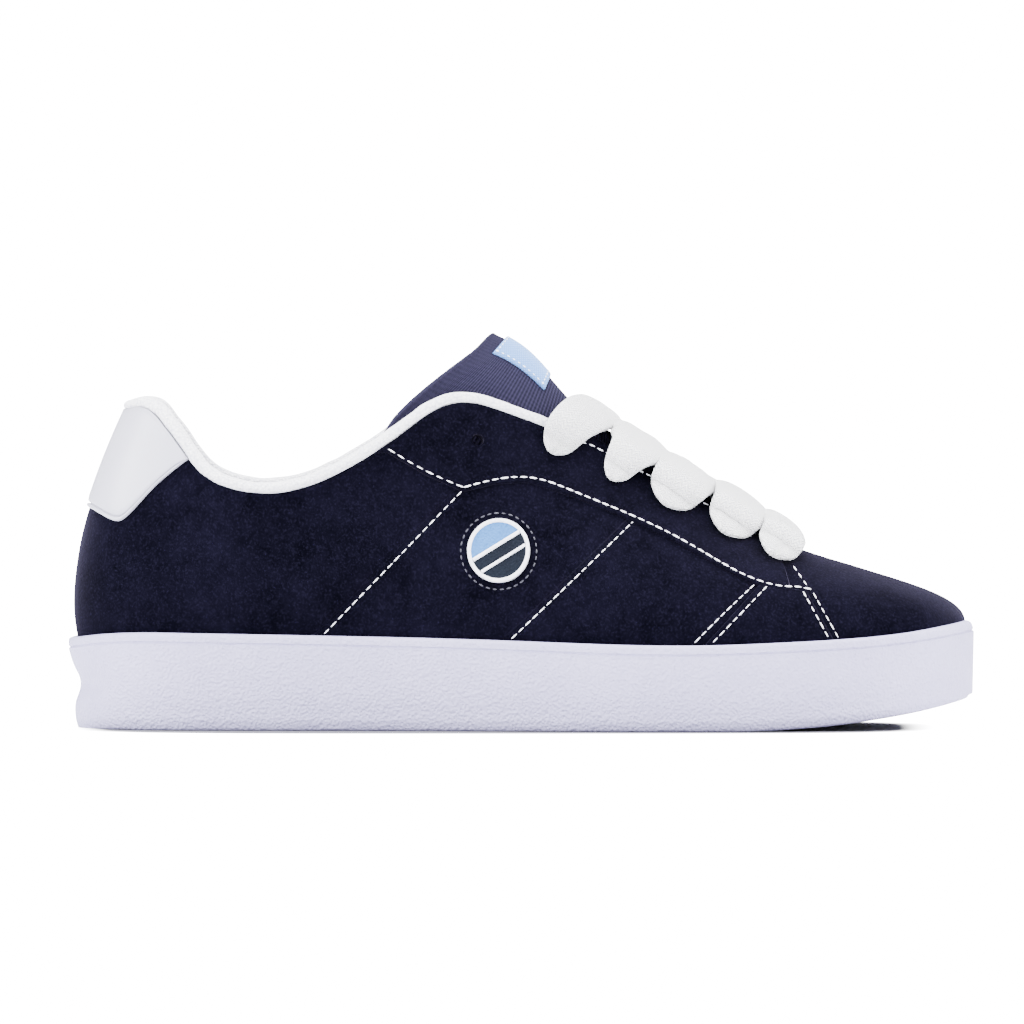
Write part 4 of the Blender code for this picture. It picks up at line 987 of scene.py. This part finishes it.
def makeTongue():
    look = tongueLook
    s, c = np.linspace(0, 1, 110)[:, None], np.linspace(-1, 1, 64)[None, :]
    normal = tongueNormal(s, c)
    face = tonguePoint(s, c)
    pad = (look["pad"] - look["edge"]) * np.sqrt(1 - 0.96 * c**2) * smooth(0.05, 0.45, s)
    thick = look["edge"] + pad
    rounds = np.sqrt(1 - np.clip((s - 1) / look["rounded"] + 1, 0, 1)**2 * 0.9)
    core = face - normal * (thick / 2)[..., None]
    half = normal * (thick / 2 * rounds)[..., None]
    onCloth = np.stack(np.broadcast_arrays(c * look["width"] * 0.6, s * look["long"]), -1)
    tongue = slab("padded_tongue", core + half, core - half, [ribbed], onCloth)
    puffed(tongue, look["cloth"])
    dress(tongue, "ribbed_fabric", "tongue")


labelLook = {"at": 0.80, "length": 0.0190, "width": 0.026, "half": 0.34, "thick": 0.0009, "lift": 0.0001,
             "sunk": 0.0003, "edge": [0, 0.0002, 0.0006], "seamIn": (0.88, 0.93)}


def makeLabel():
    look = labelLook
    half = look["length"] / tongueLength(look["at"]) / 2
    s = look["at"] + margin(14, look["length"], look["edge"])[:, None] * 2 * half - half
    c = (margin(36, look["width"], look["edge"])[None, :] * 2 - 1) * look["half"]
    inFrom = np.minimum(1 - np.abs(c) / look["half"], 1 - np.abs(s - look["at"]) / half)
    height = look["thick"] * (0.55 + 0.45 * smooth(0, 0.04, inFrom)) + look["lift"]
    normal = tongueNormal(s, c)
    face = tonguePoint(s, c)
    label = slab("woven_tongue_label", face + normal * height[..., None], face - normal * look["sunk"], [labelCloth])
    dress(label, "woven_label", "tongue_label")


makeTongue()
makeLabel()
print("tongue made")

# the badge: a moulded disc with a ring and two plain bars

badgeLook = {
    "at": (0.475, 0.531), "radius": 0.0103, "thick": 0.0018, "lift": 0.0002, "around": 72,
    "field": 0.88, "angle": 31.0, "divide": 0.0016,  # the coloured field's share of the radius, and its parts
    "bars": [(0.0016, 0.0006), (-0.0031, 0.0005)],  # how far from the middle, half width
    "barReach": 0.86, "barSide": [-1, -0.8, 0, 0.8, 1], "barHeight": [0.75, 0.95, 1.0, 0.95, 0.75], "barFoot": 0.4,
    "seam": 0.0124,  # the radius of the stitched ring
    # shares of the radius and of the thickness
    "profile": [(0.05, 0.72), (0.12, 0.72), (0.20, 0.72), (0.30, 0.72), (0.42, 0.72), (0.56, 0.72), (0.70, 0.72),
                (0.80, 0.72), (0.876, 0.74), (0.896, 0.97), (0.91, 1.0), (0.95, 1.0), (0.985, 0.9), (1.0, 0.7),
                (1.0, 0.0)],
}


def onBadge(x, z, height):
    look = badgeLook
    t, v = findOnUpper(look["at"][0] * length + x, look["at"][1] * shoe["instep"] + z, -1)
    return offUpper(t, v, height)


def makeBadge():
    look = badgeLook
    around = look["around"]
    angle = anglesOf(around)
    out, high = (np.array(column)[:, None] for column in zip(*look["profile"]))
    x, z = out * look["radius"] * np.cos(angle), out * look["radius"] * np.sin(angle)
    face = onBadge(x, z, (high * look["thick"] + look["lift"]) * np.ones(x.shape))
    faces = tubeFaces(len(out), around)
    turn = math.radians(look["angle"])
    slots = []
    for f in faces:
        fx, fz = x.ravel()[list(f)].mean(), z.ravel()[list(f)].mean()
        if math.hypot(fx, fz) > look["field"] * look["radius"] or f == faces[-1]:
            slots.append(0)
        else:
            slots.append(1 if fz * math.cos(turn) - fx * math.sin(turn) > look["divide"] else 2)
    disc = meshPiece("badge_disc", face, faces, [badgeWhite, badgeBlue, badgeSlate], slots=slots)
    dress(turnedOut(disc), "badge_rubber", "badge")
    for i, (off, half) in enumerate(look["bars"]):
        reach = math.sqrt((look["barReach"] * look["radius"])**2 - off**2)
        run = np.linspace(-reach, reach, 40)[:, None]
        side = off + np.array(look["barSide"]) * half
        barX = run * math.cos(turn) - side * math.sin(turn)
        barZ = run * math.sin(turn) + side * math.cos(turn)
        rise = np.array(look["barHeight"]) * look["thick"] + look["lift"]
        top = onBadge(barX, barZ, rise * np.ones(barX.shape))
        under = onBadge(barX, barZ, np.full(barX.shape, look["thick"] * look["barFoot"]))
        dress(slab(f"badge_bar_{i}", top, under, [badgeWhite]), "badge_rubber")


makeBadge()
print("badge made")

# the laces

laceLook = {
    "width": 0.0205, "thick": 0.0042, "slope": 35.0, "arch": 0.7, "points": 96, "around": 32,
    "below": [0.0045, 0.0025, 0.0005],  # how far the lobe's points lie below the eyelet
    "endRound": 0.0115, "neck": 0.0017,
    # for each bar: its width over the tongue and at its ends, how far its middle leans to the toe, how far it
    # slants across in shares of a small step, and its fold's place
    "bars": [(0.84, 0.68, 0.0050, 0.6, 0.3), (1.06, 0.60, 0.0020, 0.2, -0.25), (1.06, 0.92, 0.0010, 0.5, 0.1),
             (1.06, 0.86, 0.0006, -0.5, -0.1), (0.80, 0.74, -0.0024, 0.4, 0.2)], "slant": 0.0012,
    # how square the tape is across and through it, then depth, size and reach of its fold, gathers and swells
    "square": (0.85, 1.05), "fold": (0.0009, 0.16, 0.011), "gather": (0.00032, 9.0, 0.007), "swell": (0.0007, 130.0),
    # the hidden strands from bar to bar: how far across, shares of width and thickness, and the rounded end
    "crossing": {"across": 0.25, "wide": 0.62, "thick": 0.8, "end": 0.004},
    # the strand that shows beside the second bar: its two ends on the arch, its shift to the heel and downwards
    "beside": {"from": 0.90, "to": 0.35, "back": 0.0036, "down": 0.0008, "wide": 0.0112, "thick": 0.9,
               "end": 0.006},
}
slope = math.radians(laceLook["slope"])
alongThroat = np.array((math.cos(slope), 0.0, -math.sin(slope)))
offThroat = np.array((math.sin(slope), 0.0, math.cos(slope)))


def laceArch(row):
    look = laceLook
    off = shoe["overlay"] + 3 * shoe["clear"] + look["thick"] / 2
    ends = [offUpper(*eyeletSpot(row, side), off) + offThroat * look["thick"] / 4 for side in (-1, 1)]
    foot = (ends[0] + ends[1]) / 2
    half = (ends[1] - ends[0])[1] / 2

    def heightOver(points, gap, under):
        points = points[np.abs((points - foot) @ alongThroat) < look["width"] / 2 * under]
        share = (1 - np.minimum(np.abs(points[:, 1]) / half, 0.9)**2)**(look["arch"] / 2)
        return np.max(((points - foot) @ offThroat + gap + look["thick"] / 2) / share)

    ridge = tonguePoint(np.linspace(0, 1, 300)[:, None], np.linspace(-0.4, 0.4, 5)).reshape(-1, 3)
    rounds = np.linspace(0.04, 0.45, 200)
    sides = np.concatenate([offUpper(t, np.ones(200), np.full(200, shoe["overlay"])) for t in (rounds, 1 - rounds)])
    return foot, half, max(heightOver(ridge, 2 * shoe["clear"], 0.6), heightOver(sides, 3 * shoe["clear"], 1.0))


def archPoint(arch, across):
    foot, half, height = arch
    return foot + (0, half * across, 0) + offThroat * height * (1 - across**2)**(laceLook["arch"] / 2)


def laceBelow(row, side):
    # the points of the lobe below its eyelet, lying on the eyestay
    off = shoe["overlay"] + shoe["clear"] + laceLook["thick"] / 2
    points = []
    for down in laceLook["below"]:
        x = row[0] * length - math.sin(slope) * down
        z = row[1] * shoe["instep"] - math.cos(slope) * down
        points.append(offUpper(*findOnUpper(x, z, side), off))
    return points


def roundedEnds(near, reach):
    return np.sqrt(np.clip(1 - (1 - np.minimum(near / reach, 1))**2, 0.004, 1))


def strandRings(path, widths, thicks, flatWay, foldAt=0.0, seed=0.0):
    # the rings of a flat tape along a path, and its cloth map in metres
    look = laceLook
    ahead = unit(np.gradient(path, axis=0))
    flat = unit(flatWay - ahead * (ahead @ flatWay)[:, None])
    normal = np.cross(flat, ahead)
    gone = runAlong(path)
    (fold, foldWide, foldReach), (gather, turns, gatherReach) = look["fold"], look["gather"]
    rings, uv = [], []
    for i in range(len(path)):
        nearEnd = min(gone[i], gone[-1] - gone[i])
        for a in anglesOf(look["around"]):
            across, out = (math.copysign(abs(f)**power, f)
                           for f, power in zip((math.cos(a), math.sin(a)), look["square"]))
            relief = -fold * math.exp(-((across - foldAt) / foldWide)**2) * math.exp(-nearEnd / foldReach)
            relief += gather * math.cos(across * turns + seed) * math.exp(-nearEnd / gatherReach)
            point = path[i] + flat[i] * widths[i] / 2 * across + normal[i] * thicks[i] / 2 * out
            relief += noise.noise(Vector(point) * look["swell"][1] + Vector((seed, 0, 0))) * look["swell"][0]
            rings.append(point + normal[i] * relief * max(out, 0))
            uv.append((widths[i] / 2 * across if out > 0 else -widths[i] / 2 * across, gone[i]))
    return rings, uv


def makeLaces():
    look = laceLook
    rows = eyelets["top"][1:]
    arches = [laceArch(row) for row in rows]
    points, faces, uv = [], [], []

    def add(path, widths, thicks, flatWay, **settings):
        rings, ringUv = strandRings(path, widths, thicks, flatWay, **settings)
        faces.extend(tubeFaces(len(path), look["around"], len(points)))
        points.extend(rings)
        uv.extend(ringUv)

    for i, (row, arch) in enumerate(zip(rows, arches)):
        wide, ends, lean, slant, fold = look["bars"][i]
        across = np.sin(np.linspace(-0.93, 0.93, 15) * math.pi / 2)
        knots = np.array(laceBelow(row, -1) + [archPoint(arch, a) for a in across] + laceBelow(row, 1)[::-1])
        share = np.clip(knots[:, 1:2] / arch[1], -1, 1)
        knots += alongThroat * (slant * look["slant"] * share + lean * (1 - share**2))
        run = runAlong(knots)
        at = run[-1] * (1 - np.cos(np.linspace(0, math.pi, look["points"]))) / 2  # closer at the rounded ends
        near = np.minimum(at, run[-1] - at)
        rounded = roundedEnds(near, look["endRound"])
        inward = smooth(0.15, 0.62, near / (run[-1] / 2))
        add(spline(run, knots)(at), look["width"] * (ends + (wide - ends) * inward) * rounded,
            look["thick"] * (0.25 + 0.75 * rounded) * 1.15, alongThroat, foldAt=fold, seed=i * 1.7)
        for side in (-1, 1):  # the neck that goes down through the eyelet
            spot = eyeletSpot(row, side)
            neck = np.array([offUpper(*spot, h) for h in np.linspace(-0.0045, 0.0030, 8)])
            add(neck, np.full(8, 2 * look["neck"]), np.full(8, 2 * look["neck"]), alongThroat)
    strand = look["crossing"]
    for i, (below, above) in enumerate(zip(arches[1:], arches)):
        path = np.linspace(archPoint(below, -strand["across"]), archPoint(above, strand["across"]), 24)
        run = np.linspace(0, np.linalg.norm(path[-1] - path[0]), 24)
        rounded = roundedEnds(np.minimum(run, run[::-1]), strand["end"])
        add(path, look["width"] * strand["wide"] * rounded, look["thick"] * strand["thick"] * rounded,
            unit(np.cross(offThroat, path[-1] - path[0])), seed=5.0 + i)
    strand = look["beside"]
    for side in (-1, 1):
        path = np.array([archPoint(arches[1], side * a) for a in np.linspace(strand["from"], strand["to"], 30)])
        path -= alongThroat * strand["back"] + offThroat * strand["down"]
        run = runAlong(path)
        rounded = roundedEnds(np.minimum(run, run[-1] - run), strand["end"])
        add(path, strand["wide"] * rounded, look["thick"] * strand["thick"] * rounded, alongThroat, seed=12.0)
    laces = turnedOut(meshPiece("flat_laces", points, faces, [laceKnit], uv))
    dress(laces, "lace_knit", "laces")


makeLaces()
print("laces made")

# stitches, by Geometry Nodes

threads = {
    "seed": 7, "jitter": 0.12, "pointsApart": 0.0015,
    "proud": 0.12,  # the share of its width that a thread stands out of its seam
    # how high each seam lies over the upper or the tongue
    "upper": 0.0001, "patch": 0.0011, "panel": 0.00125, "throat": 0.00135, "label": 0.00105,
    # stitch length, pitch, width
    "main": (0.00262, 0.00318, 0.00058), "collar": (0.00262, 0.00318, 0.00046), "one": (0.00258, 0.00316, 0.00044),
    "two": (0.0025, 0.0029, 0.00044), "edge": (0.0022, 0.0030, 0.00055), "ring": (0.0015, 0.0023, 0.00055),
    "fine": (0.0011, 0.0019, 0.0004),
    "throatIn": 0.0031, "throatFrom": 0.53, "throatTo": 0.785,
}
seamMm = [(x * 1000, z * 1000) for x, z in seamLine]
# name, points in mm, what it lies on, kind of stitch
seams = [
    ("main", seamMm[2:11] + [(240.2, 46.2), (243.6, 45.4)], "panel", "main"),
    ("collar", seamMm[:3], "panel", "collar"),
    ("front", [(237.6, 53.0), (242.4, 46.4)], "panel", "one"),
    ("lapRear", [(129.6, 78.6), (84.3, 31.7)], "upper", "one"),
    ("lapFront", [(186.6, 69.4), (145.7, 30.3)], "upper", "one"),
    ("patchRearOut", [(225.4, 48.1), (216.6, 40.1), (205.7, 29.3)], "upper", "two"),
    ("patchRearIn", [(229.3, 46.9), (211.4, 29.3)], "patch", "two"),
    ("patchFrontIn", [(240.8, 45.2), (249.1, 30.8)], "patch", "two"),
    ("patchFrontOut", [(244.4, 45.3), (252.7, 30.6)], "upper", "two"),
]


def stitchTree():
    # stitches along a line: pitch, size and thread are the inputs
    tree = bpy.data.node_groups.new("running stitch", "GeometryNodeTree")
    tree.interface.new_socket("Geometry", in_out="INPUT", socket_type="NodeSocketGeometry")
    for name, value in (("Pitch", 0.003), ("Stitch Length", 0.0024), ("Thread Width", 0.0006), ("Jitter", 0.1)):
        tree.interface.new_socket(name, in_out="INPUT", socket_type="NodeSocketFloat").default_value = value
    tree.interface.new_socket("Seed", in_out="INPUT", socket_type="NodeSocketInt").default_value = 1
    tree.interface.new_socket("Thread", in_out="INPUT", socket_type="NodeSocketMaterial")
    tree.interface.new_socket("Geometry", in_out="OUTPUT", socket_type="NodeSocketGeometry")
    given = addNode(tree, "NodeGroupInput").outputs
    line = addNode(tree, "GeometryNodeMeshToCurve", {"Mesh": given["Geometry"]})
    spots = addNode(tree, "GeometryNodeResampleCurve", {"Curve": line, "Length": given["Pitch"]},
                    mode="LENGTH")
    tangent = addNode(tree, "GeometryNodeInputTangent")
    out = addNode(tree, "GeometryNodeInputNamedAttribute", {"Name": "outward"}, data_type="FLOAT_VECTOR")
    turned = addNode(tree, "FunctionNodeAlignRotationToVector", {"Vector": tangent}, axis="X")
    upright = addNode(tree, "FunctionNodeAlignRotationToVector", {
        "Rotation": turned, "Vector": out}, axis="Z", pivot_axis="X")
    ball = addNode(tree, "GeometryNodeMeshUVSphere", {"Segments": 8, "Rings": 6, "Radius": 0.5})
    size = addNode(tree, "ShaderNodeCombineXYZ", {
        0: given["Stitch Length"], 1: given["Thread Width"], 2: given["Thread Width"]})
    soft = addNode(tree, "GeometryNodeSetShadeSmooth", {"Geometry": ball})
    stitch = addNode(tree, "GeometryNodeTransform", {"Geometry": soft, "Scale": size})
    low = addNode(tree, "ShaderNodeMath", {0: 1.0, 1: given["Jitter"]}, operation="SUBTRACT")
    high = addNode(tree, "ShaderNodeMath", {0: 1.0, 1: given["Jitter"]}, operation="ADD")
    uneven = addNode(tree, "FunctionNodeRandomValue", {2: low, 3: high, "Seed": given["Seed"]})
    sewn = addNode(tree, "GeometryNodeInstanceOnPoints", {
        "Points": spots, "Instance": stitch, "Rotation": upright,
        "Scale": uneven.outputs[1]})
    real = addNode(tree, "GeometryNodeRealizeInstances", {0: sewn})
    threaded = addNode(tree, "GeometryNodeSetMaterial", {"Geometry": real, "Material": given["Thread"]})
    addNode(tree, "NodeGroupOutput", {0: threaded})
    return tree


def sew(name, tree, points, outward, kind, thread, slotName):
    mesh = bpy.data.meshes.new(name)
    mesh.from_pydata((points - middle).tolist(), [(i, i + 1) for i in range(len(points) - 1)], [])
    mesh.attributes.new("outward", "FLOAT_VECTOR", "POINT").data.foreach_set("vector", outward.ravel())
    piece = placed(name, mesh)
    nodes = piece.modifiers.new("stitches", "NODES")
    nodes.node_group = tree
    sockets = {item.name: item.identifier for item in tree.interface.items_tree if item.in_out == "INPUT"}
    stitch, pitch, width = threads[kind]
    for key, value in (("Pitch", pitch), ("Stitch Length", stitch), ("Thread Width", width),
                       ("Jitter", threads["jitter"]), ("Seed", threads["seed"]), ("Thread", thread)):
        nodes[sockets[key]] = value
    dress(settled(piece), slotName)


def makeStitches():
    tree = stitchTree()

    def sewUpper(name, t, v, height, kind, thread=whiteThread, slotName="lace_knit"):
        sew(f"stitches_{name}", tree, offUpper(t, v, np.full(len(t), height)), upperNormal(t, v), kind, thread,
            slotName)

    for side, place in ((-1, "outer"), (1, "inner")):
        for name, rows, lieOn, kind in seams:
            stitch, _, width = threads[kind]
            rows = np.array(rows) / 1000
            run = runAlong(rows)
            at = np.linspace(stitch / 2, run[-1] - stitch / 2, max(12, int(run[-1] / threads["pointsApart"])))
            flat = spline(run, rows)(at) if len(rows) > 2 else np.stack([np.interp(at, run, r) for r in rows.T], -1)
            sewUpper(f"{name}_{place}", *findOnUpper(*flat.T, side), threads[lieOn] + width * threads["proud"], kind)
        # the row along the throat's edge, between and under the laces
        steps = 0.5 + side * np.linspace(0.15, 0.49, 500)
        along = topEdge(steps)[:, 0] / length
        inside = steps[(along > threads["throatFrom"]) & (along < threads["throatTo"])]
        t = np.linspace(inside.min(), inside.max(), 120)
        speed = np.linalg.norm(upperPoint(t, np.ones(120)) - upperPoint(t, np.full(120, 0.96)), axis=1) / 0.04
        sewUpper(f"throat_{place}", t, 1 - threads["throatIn"] / speed, threads["throat"], "edge")
    # the ring of small grey stitches round the badge
    angle = np.linspace(0, 2 * math.pi, 121)
    x = badgeLook["at"][0] * length + badgeLook["seam"] * np.cos(angle)
    z = badgeLook["at"][1] * shoe["instep"] + badgeLook["seam"] * np.sin(angle)
    sewUpper("badge", *findOnUpper(x, z, -1), threads["upper"], "ring", darkThread, "suede")
    # the label's own stitches, along its two ends and its sides
    look = labelLook
    half = look["length"] / tongueLength(look["at"]) / 2 * look["seamIn"][0]
    side = look["half"] * look["seamIn"][1]
    corners = [(look["at"] + i * half, j * side) for i, j in ((-1, -1), (1, -1), (1, 1), (-1, 1))]
    for i in range(4):
        s, c = np.linspace(corners[i], corners[(i + 1) % 4], 30).T
        normal = tongueNormal(s, c)
        sew(f"stitches_label_{i}", tree, tonguePoint(s, c) + normal * threads["label"], normal, "fine", whiteThread,
            "woven_label")


makeStitches()
print("stitches made")
